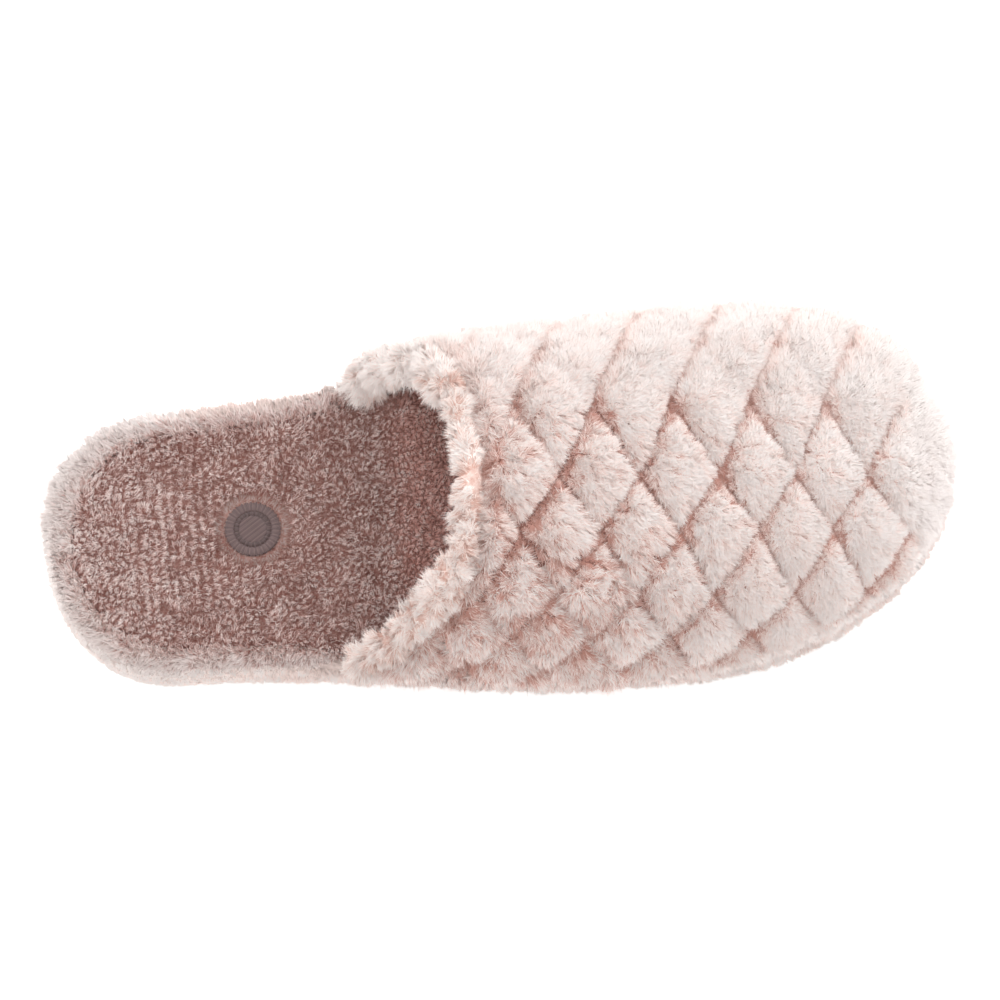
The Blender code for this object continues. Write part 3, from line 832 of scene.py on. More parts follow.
class Last:
    """The upper's dense skin: places, outward directions and quilting on one grid over the foot."""

    def __init__(self, quilt_length, quilt_girth, quilt_sweep, puff_height, wall):
        share = np.linspace(-1, 1, SHARES)
        side = np.where(share < 0, -1, 1)
        start = collar_edge(np.abs(share), side)
        tip = SOLE_LENGTH - FEATHER_INSET
        t = np.linspace(0, 1, LENGTHS)[:, None]
        x = start + (tip - start) * (1 - (1 - t) ** TOEWARD_CLOSER)
        sides = np.broadcast_to(side, x.shape)
        shares = np.broadcast_to(np.abs(share), x.shape)
        base, arc = vamp(x.reshape(-1), sides.reshape(-1), shares.reshape(-1))
        self.base = base.reshape(*x.shape, 3)
        self.x, arc = x, arc.reshape(x.shape)
        self.normal = grid_normals(self.base)
        self.normal[-1] = (1, 0, 0)

        # Place in the lattice of stitches, which wanders a little and more where the pile is shaggy
        girth = half_hoops(x.reshape(-1), sides.reshape(-1))[2][:, -1].reshape(x.shape)
        cell = quilt_length / 6
        first = THROAT_LENGTH + ROLL_WIDTH / 2 - 2 * quilt_length - QUILT_SETBACK
        count = int((SOLE_LENGTH * (1 - TOE_DROP / 3) - first) / cell)
        last = first + count * cell
        sweep = 1 - np.clip((x - last) / (tip - last), 0, 1)
        swung = quilt_sweep * (arc / (quilt_girth / 2)) ** 2 / 2
        round_foot = arc * sides
        self.shaggy = ease(0.205, 0.150, x) * ease(-0.010, -0.034, round_foot) + 0.12 * ease(0.170, 0.140, x)
        self.shaggy = np.clip(self.shaggy, 0, 1)
        loose = 0.010 + 0.012 * self.shaggy
        wander = value_noise(self.base, 0.021, 5) * 0.012 + value_noise(self.base, 0.0065, 7) * loose * 1.6
        wander = wander + value_noise(self.base, 0.0031, 9) * loose * 1.5
        length = (x + sweep * swung - first) / quilt_length + wander + 0.12 * ease(0.212, 0.240, x)
        across = np.interp(round_foot, QUILT_ROWS["round_foot"], QUILT_ROWS["row"])
        across = across + value_noise(self.base, 0.0065, 8) * loose
        across = across + value_noise(self.base, 0.0031, 10) * loose
        p, q = length + across, length - across

        # Distance to the stitches, the crease by the collar, and the pockets where two rows cross; the crease
        # and pockets also take painted shade
        spacing = 1 / math.hypot(1 / quilt_length, 1 / quilt_girth)
        inward = ease(0.12, 0.45, shares) * (sides > 0)
        to_p = np.abs(p - np.round(p)) * spacing + 0.0028 * inward
        to_q = np.abs(q - np.round(q)) * spacing - 0.0006 * ease(0.165, 0.140, x)
        self.to_stitch = np.maximum(np.minimum(to_p, to_q), 0)
        by_collar = ease(0.168, 0.148, x) * ease(0.004, -0.004, round_foot) * ease(-0.048, -0.032, round_foot)
        self.crease = ease(0.0034, 0.0006, to_q) * by_collar
        past_p, past_q = p - np.round(p), q - np.round(q)
        pocket_x = (past_p + past_q) / 2 * quilt_length - POCKET_OFFSET
        pocket_y = (past_p - past_q) / 2 * quilt_girth + POCKET_OFFSET
        self.pocket = np.exp(-(pocket_x**2 + pocket_y**2) / POCKET_RADIUS**2)
        pc, qc = np.floor(p) + 0.5, np.floor(q) + 0.5
        self.from_heart = np.stack(
            [(length - (pc + qc) / 2) * quilt_length, (across - (pc - qc) / 2) * quilt_girth], -1
        )
        self.to_feather = girth - arc
        self.to_collar = x - start
        self.to_toe = SOLE_LENGTH - x

        # The puffs, lower on the inner side, lumpy where shaggy, and gone at the edges
        fade = ease(0.001, 0.0070, self.to_feather) * ease(-0.001, 0.004, self.to_collar)
        self.fade = fade = fade * ease(0.005, 0.016, self.to_toe)
        flatter = ease(0.20, 0.60, shares) * (sides > 0)
        self.inward = inward
        self.round_foot = round_foot
        rise = mix(np.abs(np.sin(np.pi * p)), 1.0, 0.7 * inward) * np.abs(np.sin(np.pi * q))
        rise = rise**PUFF_FULLNESS
        rise = mix(rise, 0.45 + 0.45 * rise, flatter)
        self.lumps = value_noise(self.base, 0.0052, 11)
        lumpy = self.lumps * mix(0.0002, 0.0011, self.shaggy) + 0.0003 * value_noise(self.base, 0.0028, 12)
        self.puffed = self.base + self.normal * (fade * (puff_height * rise + lumpy * rise))[..., None]
        self.inner = self.base - self.normal * wall
        self.inner[:, 0, 2] = self.base[:, 0, 2]
        self.inner[:, -1, 2] = self.base[:, -1, 2]

        # Which way the quilted skin faces, told apart more than it is, and less by the collar
        self.outward = grid_normals(self.puffed)
        self.outward[-1] = (1, 0, 0)
        by_edge = 0.85 * ease(0.011, 0.003, self.to_collar) * ease(-0.006, 0.006, round_foot)
        self.facing = unit(mix(self.outward * 1.7 - self.normal * 0.7, self.normal, by_edge[..., None]))
        self.forward = unit(np.gradient(self.base, axis=0))
        self.round = unit(np.gradient(self.base, axis=1))


def upper_shell(last, plush, lining):
    """Padded shell: quilted outside, lining inside, closed round the collar and the feather edge."""
    outer, inner = last.puffed[::2, ::2], last.inner[::2, ::2]
    rows, columns = outer.shape[:2]
    points = np.concatenate([outer.reshape(-1, 3), inner.reshape(-1, 3)])
    count = rows * columns
    outside = grid_faces(rows, columns)
    inside = grid_faces(rows, columns, count, turned=True)
    edges = []
    for i in range(rows - 1):
        a, b = i * columns, (i + 1) * columns
        edges.append((a, a + count, b + count, b))
        a, b = a + columns - 1, b + columns - 1
        edges.append((a, b, b + count, a + count))
    for k in range(columns - 1):
        edges.append((k, k + 1, k + 1 + count, k + count))
    slots = [0] * len(outside) + [1] * len(inside) + [1] * len(edges)
    mesh = joined_mesh("upper_shell", points, outside + inside + edges, slots)
    mesh.materials.append(plush)
    mesh.materials.append(lining)
    return link("upper_shell", mesh)


def upper_emitters(last, settings):
    """The quilting's pile ground in four runs, so that no piece grows too large."""
    base, x, fade, outward = last.base, last.x, last.fade, last.outward
    inward, shaggy, round_foot, to_collar = last.inward, last.shaggy, last.round_foot, last.to_collar
    # Distance to the nearest stitch, and how far the pile lies open away from it
    near = np.maximum(last.to_stitch - 0.0004 - 0.0007 * value_noise(base, 0.013, 27), 0)
    near = mix(0.006, near, fade)
    open_up = ease(0.0, 0.003, near)[..., None]
    # Combed along the skin, leaning away from each diamond's middle, in faint ribs across the foot
    comb = unit(COMBED - last.normal * (last.normal @ COMBED)[..., None])
    comb = comb - outward * (comb * outward).sum(-1, keepdims=True)
    lean = last.from_heart / LEAN_REACH * settings.lean
    rib = 2 * np.pi * (base[..., 0] / RIB_PITCH + 0.6 * value_noise(base, 0.012, 25))
    toeward = ease(0.165, 0.215, x)
    upright = np.maximum(toeward, 0.6 * inward)
    nap = outward * mix(0.4, 0.45, open_up)
    nap = nap + comb * (settings.comb * (1 - 0.5 * upright))[..., None] * mix(0.5, 1.0, open_up)
    nap = nap + last.forward * (0.22 * (1 + toeward) * np.sin(rib))[..., None]
    nap = nap + last.forward * lean[..., :1] + last.round * lean[..., 1:]
    for size, strength, seed in ((0.0048, 0.25, 21), (0.0022, 0.32, 26)):
        drift = noise_vectors(base, size, seed)
        nap = nap + drift * strength * (1 + 0.9 * shaggy - 0.35 * toeward)[..., None]
    # Stitches show less on the inner side, where the pile is shaggy, by the collar and at the toe
    faint = 0.42 * inward * (1 - 0.45 * ease(0.192, 0.208, x))
    heelward = 0.4 * ease(0.148, 0.128, x) * ease(-0.002, 0.010, round_foot)
    stitched = (1 - faint) * (1 - 0.45 * shaggy) * (1 - heelward) * (1 - 0.24 * toeward)
    half_long, half_round = settings.quilt_length / 2, settings.quilt_girth / 2
    downhill = 0.6 * last.from_heart[..., 0] / half_long - 0.8 * last.from_heart[..., 1] / half_round
    downhill = ease(-0.45, 0.45, downhill) * (1 - 0.5 * inward)
    # Short at the stitches, long on a diamond's lower side, at the collar and over the hem
    length = 1 - 0.68 * stitched * ease(mix(0.0034, 0.0013, downhill), 0.0001, near)
    length *= 1 + 0.18 * downhill * ease(0.0045, 0.0015, near)
    length *= (1 + 0.12 * value_noise(base, 0.003, 24)) * (1 + 0.2 * shaggy) * (1 - 0.4 * last.crease)
    at_collar = ease(0.0055, 0.0015, to_collar)
    length *= 1 + 0.35 * at_collar * (1 - 0.7 * inward)
    length *= (1 - 0.2 * toeward) * (1 + 0.45 * inward * ease(0.216, 0.244, x))
    nap = nap - last.forward * (0.6 * at_collar * (1 - 0.6 * inward))[..., None]
    hem = ease(0.007, 0.001, last.to_feather)
    length *= 1 + hem * (0.55 + 0.6 * value_noise(base, 0.0045, 28)) + 0.2 * ease(0.02, 0.004, last.to_toe)
    nap = nap + outward * (0.3 * hem)[..., None]
    nap[..., 2] -= 0.45 * hem
    density = mix(0.25 + 0.45 * toeward, 1.0, ease(0.0001, 0.0007, near))
    pale = np.maximum(ease(0.195, 0.245, x), inward)
    # Deep pink at the stitches, where the short pile shows its roots and painted shade deepens the valleys;
    # painted shade and shadow by the collar, in the pockets, creases and lumps; painted light over the toe and
    # inner side
    tone = 0.94 - 1.05 * stitched * ease(mix(0.0044, 0.0012, downhill), 0.0001, near)
    tone += value_noise(base, 0.0035, 31) * 0.16
    tone += 0.22 * toeward * value_noise(base, 0.0012, 35)
    # Painted shade on the outer part of the quilting towards the collar
    tone -= 0.14 * ease(0.175, 0.130, x) * (1 - inward)
    tone += 0.09 * (1 + 1.1 * toeward) * np.cos(rib) * fade
    # Painted shadow of the collar on the upper just behind it on the outer side, and a pinker painted shade
    # beside it further in
    behind = ease(0.0045, 0.0015, to_collar) * ease(0.012, 0.0, round_foot)
    tone -= 0.3 * behind * ease(-0.034, -0.018, round_foot)
    tone -= 0.3 * ease(0.0065, 0.0015, to_collar) * ease(-0.004, 0.012, round_foot)
    # Painted shade in the pockets where the stitches cross and in the crease by the collar
    tone = tone - 0.65 * last.pocket * fade * stitched - 0.8 * last.crease
    # Painted shade in the hollows between the shaggy lumps, then darker patches at random
    tone -= 0.28 * shaggy * ease(0.0, -0.7, last.lumps)
    tone -= 0.40 * shaggy * ease(0.05, -0.5, value_noise(base, 0.0027, 29))
    # Painted light on the toe and the inner side, strongest on the toe's tip, which takes the edge colour
    tone += 0.16 * pale * (1 - 0.6 * inward) * ease(0.0004, 0.0025, near)
    tone += 0.45 * ease(0.240, 0.258, x)
    tone = np.clip(tone, -0.3, 1.7)
    shag = 1.12 + 0.7 * shaggy - 0.60 * inward - 0.26 * toeward
    grounds = {}
    for label, first, end in UPPER_RUNS:
        fields = [field[:, first:end] for field in (last.facing, nap, length, density, tone, shag)]
        faces = grid_faces(len(x), end - first)
        grounds[label] = emitter(f"upper_ground_{label}", last.puffed[:, first:end], faces, *fields)
    return grounds


def metres(name, description, default):
    return FloatProperty(name=name, description=description, default=default, unit="LENGTH")


def degrees(name, description, default):
    return FloatProperty(name=name, description=description, default=math.radians(default), subtype="ANGLE")


def number(name, description, default):
    return FloatProperty(name=name, description=description, default=default)


def colour(name, description, default):
    return FloatVectorProperty(name=name, description=description, subtype="COLOR", default=default)


class Settings_Upper(bpy.types.PropertyGroup):
    quilt_length: metres("Diamond length", "Length of a quilting diamond along the foot", 0.0228)
    quilt_girth: metres("Diamond girth", "Size of a quilting diamond round the foot", 0.041)
    quilt_sweep: metres("Row sweep", "How far the rows swing to the heel down the side", 0.0019)
    puff_height: metres("Puff", "Height of the wadding over the stitches", 0.0045)
    wall: metres("Wall", "Thickness of the wall at the stitches", 0.003)
    pile: metres("Pile", "Length of the pile's strands", 0.0034)
    lean: number("Lean", "How far the pile leans away from the middle of its diamond", 0.12)
    comb: number("Comb", "How far the pile is combed to the toe and the outer side", 0.6)
    density: number("Strands", "Strands to a square metre", 24.0e6)
    tip: colour("Tip", "Colour of the pile's tips", (0.905, 0.875, 0.855))
    middle: colour("Middle", "Colour of the pile half way up", (0.89, 0.73, 0.68))
    root: colour("Root", "Colour of the pile at its backing", (0.535, 0.26, 0.212))


class SLIPPER_OT_upper(bpy.types.Operator):
    """Makes the quilted padded upper with its lining and its pile"""

    bl_idname = "slipper.upper"
    bl_label = "Quilted upper"

    def execute(self, context):
        s = context.scene.slipper_upper
        last = Last(s.quilt_length, s.quilt_girth, s.quilt_sweep, s.puff_height, s.wall)
        deep, pale = scaled(s.root, 0.45), scaled(s.root, 0.85)
        plush = fleece_material("blush_backing", deep, pale, toe=(0.64, 0.37, 0.31))
        lining = fleece_material("blush_lining", (0.36, 0.25, 0.23), (0.62, 0.50, 0.47), 800.0)
        shell = riding(upper_shell(last, plush, lining), "blush_plush", "upper")
        # The edge colour is painted light on the toe's tip, and the glow is painted light that warms the pile's
        # shade
        edge, painted_glow = (0.88, 0.85, 0.84), (0.074, 0.045, 0.037)
        fibre = strand_material("blush_pile", s.root, s.middle, s.tip, edge, painted_glow)
        for k, (label, ground_piece) in enumerate(upper_emitters(last, s).items()):
            habit = "upper side" if label == "side" else "upper"
            grown(f"upper_pile_{label}", ground_piece, fibre, s, habit, 100 + k)
        return {"FINISHED"}


def roll_grid(swell):
    """Rings of the rolled collar from the lateral foot of it over the crown to the medial one."""
    share = np.linspace(-1, 1, ROLL_RINGS)
    side = np.where(share < 0, -1, 1)

    def at(signed, ahead=0.0):
        s = np.where(signed < 0, -1, 1)
        a = np.abs(signed)
        return vamp(collar_line(a, s) + ahead, s, a)[0]

    middle = at(share)
    run = unit(at(np.clip(share + 0.01, -1, 1)) - at(np.clip(share - 0.01, -1, 1)))
    forward = at(share, ROLL_WIDTH / 4) - middle
    out = np.cross(forward, run)
    out = unit(out - run * (out * run).sum(-1, keepdims=True))
    across = np.cross(run, out)
    middle = middle + out * ROLL_LIFT
    turn = 2 * np.pi * np.arange(ROLL_SIDES) / ROLL_SIDES
    rim = out[:, None] * np.cos(turn)[None, :, None] * ROLL_THICKNESS / 2
    rim = rim + across[:, None] * np.sin(turn)[None, :, None] * ROLL_WIDTH / 2
    lumps = 1 + swell * value_noise(middle[:, None] + rim, 0.0085, 41)
    lumps = lumps + swell * 0.4 * value_noise(middle[:, None] + rim, 0.0036, 42)
    points = middle[:, None] + rim * lumps[..., None]
    # Both ends stand on the deck
    for ring in (0, -1):
        for _ in range(6):
            low = deck(points[ring, :, 0] + CENTRE[0]) + GAP
            points[ring] += run[ring] * ((low - points[ring, :, 2]) / run[ring][2])[:, None]
    return points


def collar_ground(points):
    """Emitter of the collar's curls: long at the inner foot, short by the upper, pale with painted light on the
    inner arm.
    """
    rings, sides = points.shape[:2]
    faces = grid_faces(rings, sides, turned=True, wrap=True)
    out = -grid_normals(np.concatenate([points, points[:, :1]], axis=1))[:, :-1].reshape(-1, 3)
    points = points.reshape(-1, 3)
    way = np.repeat(np.linspace(-1, 1, rings), sides)
    at_foot = ease(0.90, 0.98, np.abs(way))
    arm = ease(0.25, 0.6, way)
    crown = ease(0.6, 0.25, np.abs(way))
    toeward = ease(0.1, 0.9, out[:, 0])
    drift = noise_vectors(points, 0.0060, 51) + 0.5 * noise_vectors(points, 0.0026, 56)
    nap = out * 0.6 + drift * 0.8 + COMBED * 0.2
    nap = nap + (at_foot * (way > 0))[:, None] * np.array([-0.9, -0.35, -0.2])
    length = (0.85 + 0.5 * value_noise(points, 0.004, 54)) * (1 - 0.65 * toeward)
    length = length * np.where(way > 0, 1 + 0.35 * at_foot, 1 - 0.35 * at_foot)
    # Painted light on the inner arm and painted shade on the toe side, which faces the crease by the upper; a
    # little darker at the crown
    tone = 0.77 + (0.26 + 0.14 * arm) * value_noise(points, 0.0030, 55)
    tone = np.clip(tone - 0.25 * toeward + 0.52 * arm - 0.08 * crown, 0, 1.6)
    return emitter("collar_ground", points, faces, out, nap, length, 1.0, tone, 1.25 - 0.15 * arm)


class Settings_Collar(bpy.types.PropertyGroup):
    pile: metres("Pile", "Length of the collar's longer strands", 0.0046)
    swell: number("Lumps", "Unevenness of the roll as a share of its radius", 0.42)
    density: number("Strands", "Strands to a square metre", 24.0e6)
    tip: colour("Tip", "Colour of the tufts' tips", (0.875, 0.855, 0.838))
    middle: colour("Middle", "Colour half way up the tufts", (0.89, 0.765, 0.715))
    root: colour("Root", "Colour at the roll's backing", (0.56, 0.32, 0.26))


class SLIPPER_OT_collar(bpy.types.Operator):
    """Makes the rolled collar and its curly tufts"""

    bl_idname = "slipper.collar"
    bl_label = "Rolled collar"

    def execute(self, context):
        s = context.scene.slipper_collar
        points = roll_grid(s.swell)
        rings, sides = points.shape[:2]
        faces = grid_faces(rings, sides, turned=True, wrap=True)
        faces += [tuple(range(sides)), tuple((rings - 1) * sides + k for k in range(sides))[::-1]]
        mesh = joined_mesh("collar_skin", points, faces)
        mesh.materials.append(fleece_material("collar_backing", s.root, s.middle, 600.0))
        skin = riding(link("collar_skin", mesh), "blush_plush", "collar_roll")
        # The edge colour is painted light on the inner arm, and the glow is painted light that warms the curls'
        # shade
        edge, painted_glow = (0.99, 0.945, 0.92), (0.118, 0.080, 0.069)
        fibre = strand_material("collar_pile", s.root, s.middle, s.tip, edge, painted_glow)
        grown("collar_pile", collar_ground(points), fibre, s, "collar", 7)
        return {"FINISHED"}


def platform_ground(creases):
    """Emitter of the plush on the platform's side and rim, from the outsole up and all the way round."""
    turn = np.linspace(0, 1, PERIMETER_STEPS)
    walk = mix((1 - np.cos(np.pi * turn)) / 2, turn, 0.45)
    walk[-1] = 1.0
    station = np.concatenate([walk, walk[::-1][1:-1]])
    side = np.concatenate([np.full(len(walk), -1), np.full(len(walk) - 2, 1)])
    level = np.linspace(0, 1, PLATFORM_LEVELS)
    loops = []
    for height in level:
        guess = station * SOLE_LENGTH
        inset = mix(column(RIM, "bare", height), column(RIM, "covered", height), rim_cover(guess))
        x, y = plan(station, side, inset * rim_width(guess))
        z = mix(ground(x) + OUTSOLE_THICKNESS + GAP, deck(x), column(RIM, "height", height))
        loops.append(placed(x, y, z))
    points = np.array(loops)
    x, v = points[..., 0] + CENTRE[0], level[:, None]
    around = np.roll(points, -1, axis=1) - np.roll(points, 1, axis=1)
    out = unit(np.cross(around, np.gradient(points, axis=0)))
    # Under the upper the strands bridge up to it, and behind its foot the rim is bare
    fore = ease(0.085, 0.110, x)
    toe = ease(0.235, 0.255, x)
    past_foot = x - (THROAT_LENGTH - by_side(side, COLLAR_REACH))
    uncovered = 1 - ease(-0.006, 0.001, past_foot)
    bridge = (1 - uncovered) * ease(0.40, 0.75, v)

    # Strands hang below, splay out over the rim and stray more under the upper
    drift = noise_vectors(points, 0.0045, 61)
    nap = out * 0.5 + drift * (0.55 + 0.4 * fore)[..., None]
    nap = nap + np.array([0.0, 0.0, -0.5]) * (1 - ease(0.45, 0.7, v))[..., None]
    nap = nap + unit(around) * 0.15
    nap[..., :2] += unit(points[..., :2]) * (ease(0.5, 0.8, v) * 0.5)[..., None]
    nap[..., 2] += 0.8 * bridge

    # One wavy crease half way up the side, and two finer ones by the rim
    crease = np.exp(-(((v - 0.42 - 0.03 * value_noise(points, 0.03, 64)) / 0.035) ** 2))
    for crease_level, depth in ((0.66, 0.9), (0.75, 1.4)):
        line = np.exp(-(((v - crease_level - 0.03 * value_noise(points, 0.025, 65)) / 0.022) ** 2))
        crease += depth * line * np.where(side > 0, 1.0, 0.5)
    crease = np.clip(crease, 0, 1) * creases * (1 - 0.8 * rim_cover(x))

    heel_side = ease(0.085, 0.045, x) * (side < 0)
    length = (1 - 0.6 * crease) * mix(0.55, 1.0, ease(0.0, 0.25, v)) * (1 - 0.45 * ease(0.7, 1.0, v))
    length = length * (1 - 0.4 * heel_side) * (1 + 0.35 * toe)
    length = length * (1 - 0.35 * bridge) * mix(0.55, 1.3, ease(-0.015, 0.015, points[..., 1]))
    length = length * (1 + 0.45 * value_noise(points, 0.0038, 68))

    # No strands where the upper or the footbed's own pile covers the platform
    seat = np.where(side < 0, 0.62, mix(0.66, 0.80, ease(0.02, 0.16, station) * ease(0.32, 0.24, station)))
    density = 1 - ease(0.84, 0.88, v) * ease(0.0, 0.006, past_foot)
    density *= 1 - ease(seat, seat + 0.10, v) * uncovered

    # Deeper on the inner rim, and with painted shade in the creases; pale round the heel, partly its paler fur
    # and partly painted light on the side the lamps reach least; paler with painted light at the toe and where
    # the strands bridge up under the upper's shade
    inner_rim = 0.72 * (side > 0) * uncovered * ease(0.35, 0.6, v) * ease(0.025, 0.050, station * SOLE_LENGTH)
    tone = 0.82 - 0.5 * crease - inner_rim - 0.15 * ease(seat - 0.1, seat + 0.08, v) * uncovered
    tone += 1.1 * ease(0.062, 0.018, x) * mix(0.4, 1.0, ease(0.30, 0.60, v))
    tone += 0.3 * fore * ease(0.35, 0.05, v)
    tone += 0.34 * value_noise(points, 0.0030, 66)
    tone += 0.3 * fore * value_noise(points, 0.0026, 67)
    tone += 0.1 * toe
    tone += 0.25 * bridge
    tone = np.clip(tone, 0, 2)
    faces = grid_faces(*x.shape, wrap=True, turned=True)
    return emitter("platform_ground", points, faces, out, nap, length, density, tone, 1.3 + 0.2 * fore)


class Settings_Platform(bpy.types.PropertyGroup):
    pile: metres("Pile", "Length of the strands on the platform's side", 0.0030)
    density: number("Strands", "Strands to a square metre", 9.5e6)
    creases: number("Creases", "Depth of the creases along the side", 0.55)


class SLIPPER_OT_platform(bpy.types.Operator):
    """Dresses the platform's side and heel rim in short pale plush"""

    bl_idname = "slipper.platform"
    bl_label = "Platform plush"

    def execute(self, context):
        s = context.scene.slipper_platform
        plush = context.scene.slipper_upper
        middle = tuple(plush.middle)
        dress("midsole", fleece_material("platform_backing", scaled(middle, 0.62), middle, 700.0))
        # The edge colour takes the heel's pale tone, partly painted light, and the glow is painted light that
        # warms the pile's shade
        edge, painted_glow = (0.76, 0.675, 0.65), (0.050, 0.036, 0.032)
        root, tip = scaled(middle, 0.72), scaled(plush.tip, 0.95)
        fibre = strand_material("platform_pile", root, middle, tip, edge, painted_glow)
        grown("platform_pile", platform_ground(s.creases), fibre, s, "platform", 31)
        return {"FINISHED"}


def footbed_skin():
    """Grid of points on the footbed and the platform's rim round it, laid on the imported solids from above."""
    solids = []
    for name in ("insole", "midsole"):
        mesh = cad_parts[name].data
        corners = [vertex.co for vertex in mesh.vertices]
        solids.append(BVHTree.FromPolygons(corners, [face.vertices for face in mesh.polygons]))
    share = np.linspace(-1, 1, FOOTBED_COLUMNS)
    side = np.where(share < 0, -1, 1)
    rows = []
    for a in np.linspace(0.0, FOOTBED_END, FOOTBED_ROWS):
        here = np.full(share.shape, a)
        spread = np.where(side < 0, 0.0014, mix(0.0016, 0.0036, ease(0.0, 0.16, a) * ease(0.33, 0.24, a)))
        under = np.where(side < 0, ease(0.285, 0.335, a), ease(0.325, 0.370, a))
        inset = mix(spread, rim_width(here * SOLE_LENGTH) + GAP + 0.0002, under)
        x, y = plan(here, side, inset)
        rows.append(placed(x, y * np.abs(share), 0.0 * x))
    points = np.array(rows)
    down = Vector((0, 0, -1))
    for point in points.reshape(-1, 3):
        hits = [solid.ray_cast(Vector((point[0], point[1], 0.05)), down)[0] for solid in solids]
        point[2] = max([hit.z for hit in hits if hit is not None], default=HEEL_STACK)
    # Dips are filled up from around, which rounds the step between the two solids
    for _ in range(3):
        level = np.pad(points[..., 2], 2, mode="edge")
        around = level[:-4, 2:-2] + level[4:, 2:-2] + level[2:-2, :-4] + level[2:-2, 4:]
        points[..., 2] = np.maximum(level[2:-2, 2:-2], around / 4)
    return points


def footbed_ground(points):
    """Emitter of the footbed's pile: pale at the rim, in rows at the heel and pressed flat round the disc,
    where painted shade darkens it.
    """
    outline = np.concatenate([np.stack(plan(np.linspace(0.0, 0.5, 160), way, 0.0), -1) for way in (-1, 1)])
    flat = (points + CENTRE)[..., :2].reshape(-1, 1, 2)
    nearest = [np.linalg.norm(part - outline, axis=-1).min(axis=1) for part in np.array_split(flat, 20)]
    to_edge = np.concatenate(nearest).reshape(points.shape[:2])
    x, y = points[..., 0] + CENTRE[0], points[..., 1] + CENTRE[1]
    side = np.where(np.linspace(-1, 1, FOOTBED_COLUMNS) < 0, -1, 1)
    off = np.stack([x - PATCH_FROM_HEEL, y - PATCH_ACROSS], -1)
    reach = np.linalg.norm(off, axis=-1)
    # Pressed round the disc and darkened there with painted shade, in rows at the heel, parted once across, and
    # with a pale rim
    dimple = 1 - ease(PATCH_RADIUS + 0.001, PATCH_RADIUS + 0.0045, reach)
    fringe = ease(PATCH_RADIUS + 0.0016, PATCH_RADIUS + 0.0004, reach)
    in_rows = ease(0.020, 0.030, x) * (1 - ease(0.047, 0.053, x)) * (1 - ease(0.016, 0.028, np.abs(y)))
    combed = x / FOOTBED_ROW_PITCH * 2 * np.pi + 1.6 * value_noise(points, 0.009, 74)
    parted = np.exp(-(((x - FOOTBED_PARTING) / 0.0009) ** 2)) * (1 - ease(0.014, 0.022, np.abs(y)))
    from_rim = to_edge - np.where(side < 0, 0.0, 0.0025 * ease(0.090, 0.060, x))
    shown = ease(0.094, 0.080, x)
    edge = ease(0.0105, 0.004, from_rim) * shown
    toned_down = np.where(side > 0, 0.6 * ease(0.030, 0.055, x), 0.36 * ease(0.035, 0.060, x))
    rim = ease(0.0068, 0.0024, from_rim) * shown * (1 - toned_down)
    inside = ease(0.090, 0.102, x)

    nap = np.array([0.15, -0.15, 1.0]) + noise_vectors(points, 0.0028, 71) * np.array([0.45, 0.45, 0.1])
    nap[..., 0] += np.sin(combed) * in_rows * 0.7
    nap[..., :2] += unit(off) * (dimple * 1.4 - fringe * 2.2)[..., None]
    nap[..., :2] += unit(points[..., :2] + np.array([0.03, 0.0])) * (edge * 0.35 + rim * 0.4)[..., None]
    length = (1 - 0.45 * dimple) * (1 + 0.45 * edge) * (1 + 0.2 * value_noise(points, 0.003, 75))
    length *= mix(1.0, 0.75, ease(0.096, 0.102, x))
    density = np.where(reach < PATCH_RADIUS + 0.0004, 0.0, 1.0)
    tone = 0.61 + 0.36 * value_noise(points, 0.0022, 76) + 0.14 * value_noise(points, 0.007, 78)
    tone += 0.2 * fringe
    # Darker along the middle, and lighter with painted light inside the upper, where its shade falls
    tone = tone - 0.16 * ease(0.022, 0.042, x) * (1 - ease(0.088, 0.100, x)) + 0.08 * ease(0.095, 0.105, x)
    tone = tone - 0.32 * np.cos(combed) * in_rows - 0.4 * parted + 0.26 * ease(0.050, 0.010, x)
    tone = tone + 0.18 * edge + rim * (1 + 0.6 * value_noise(points, 0.0022, 79))
    tone += 0.50 * value_noise(points * np.array([1, 0.3, 1]), 0.0022, 77) * inside
    tone = np.clip(tone, -0.5, 2) - 2.0 * dimple
    shag = 1 - 0.25 * edge + 0.1 * inside - 0.3 * dimple
    out = grid_normals(points)
    return emitter("footbed_ground", points, grid_faces(*x.shape), out, nap, length, density, tone, shag)


class Settings_Footbed(bpy.types.PropertyGroup):
    pile: metres("Pile", "Length of the footbed's strands", 0.0024)
    density: number("Strands", "Strands to a square metre", 9.5e6)
    tip: colour("Tip", "Colour of the tufts' tips", (0.97, 0.865, 0.84))
    middle: colour("Middle", "Colour half way up the tufts", (0.63, 0.41, 0.37))
    root: colour("Root", "Colour at the footbed's backing", (0.22, 0.083, 0.064))


class SLIPPER_OT_footbed(bpy.types.Operator):
    """Dresses the footbed in short mauve pile, pressed flat and darkened with painted shade round the disc"""

    bl_idname = "slipper.footbed"
    bl_label = "Footbed plush"

    def execute(self, context):
        s = context.scene.slipper_footbed
        dress("insole", fleece_material("footbed_backing", s.root, s.middle))
        fibre = strand_material(
            "mauve_pile",
            s.root,
            s.middle,
            s.tip,
            edge=(0.95, 0.86, 0.83),
            # A faint painted glow that warms the pile's shade
            painted_glow=(0.034, 0.021, 0.018),
            by_height=0.55,
            # A warm painted shade colour for the pile inside the upper, where the upper's shade falls
            inside=(0.85, 0.42, 0.36),
            # Pile pressed flat round the disc, darkened with painted shade in that hollow
            pressed=(0.45, 0.36, 0.335),
        )
        ground_piece = footbed_ground(footbed_skin())
        grown("footbed_pile", ground_piece, fibre, s, "footbed", 17, "mauve_plush")
        return {"FINISHED"}


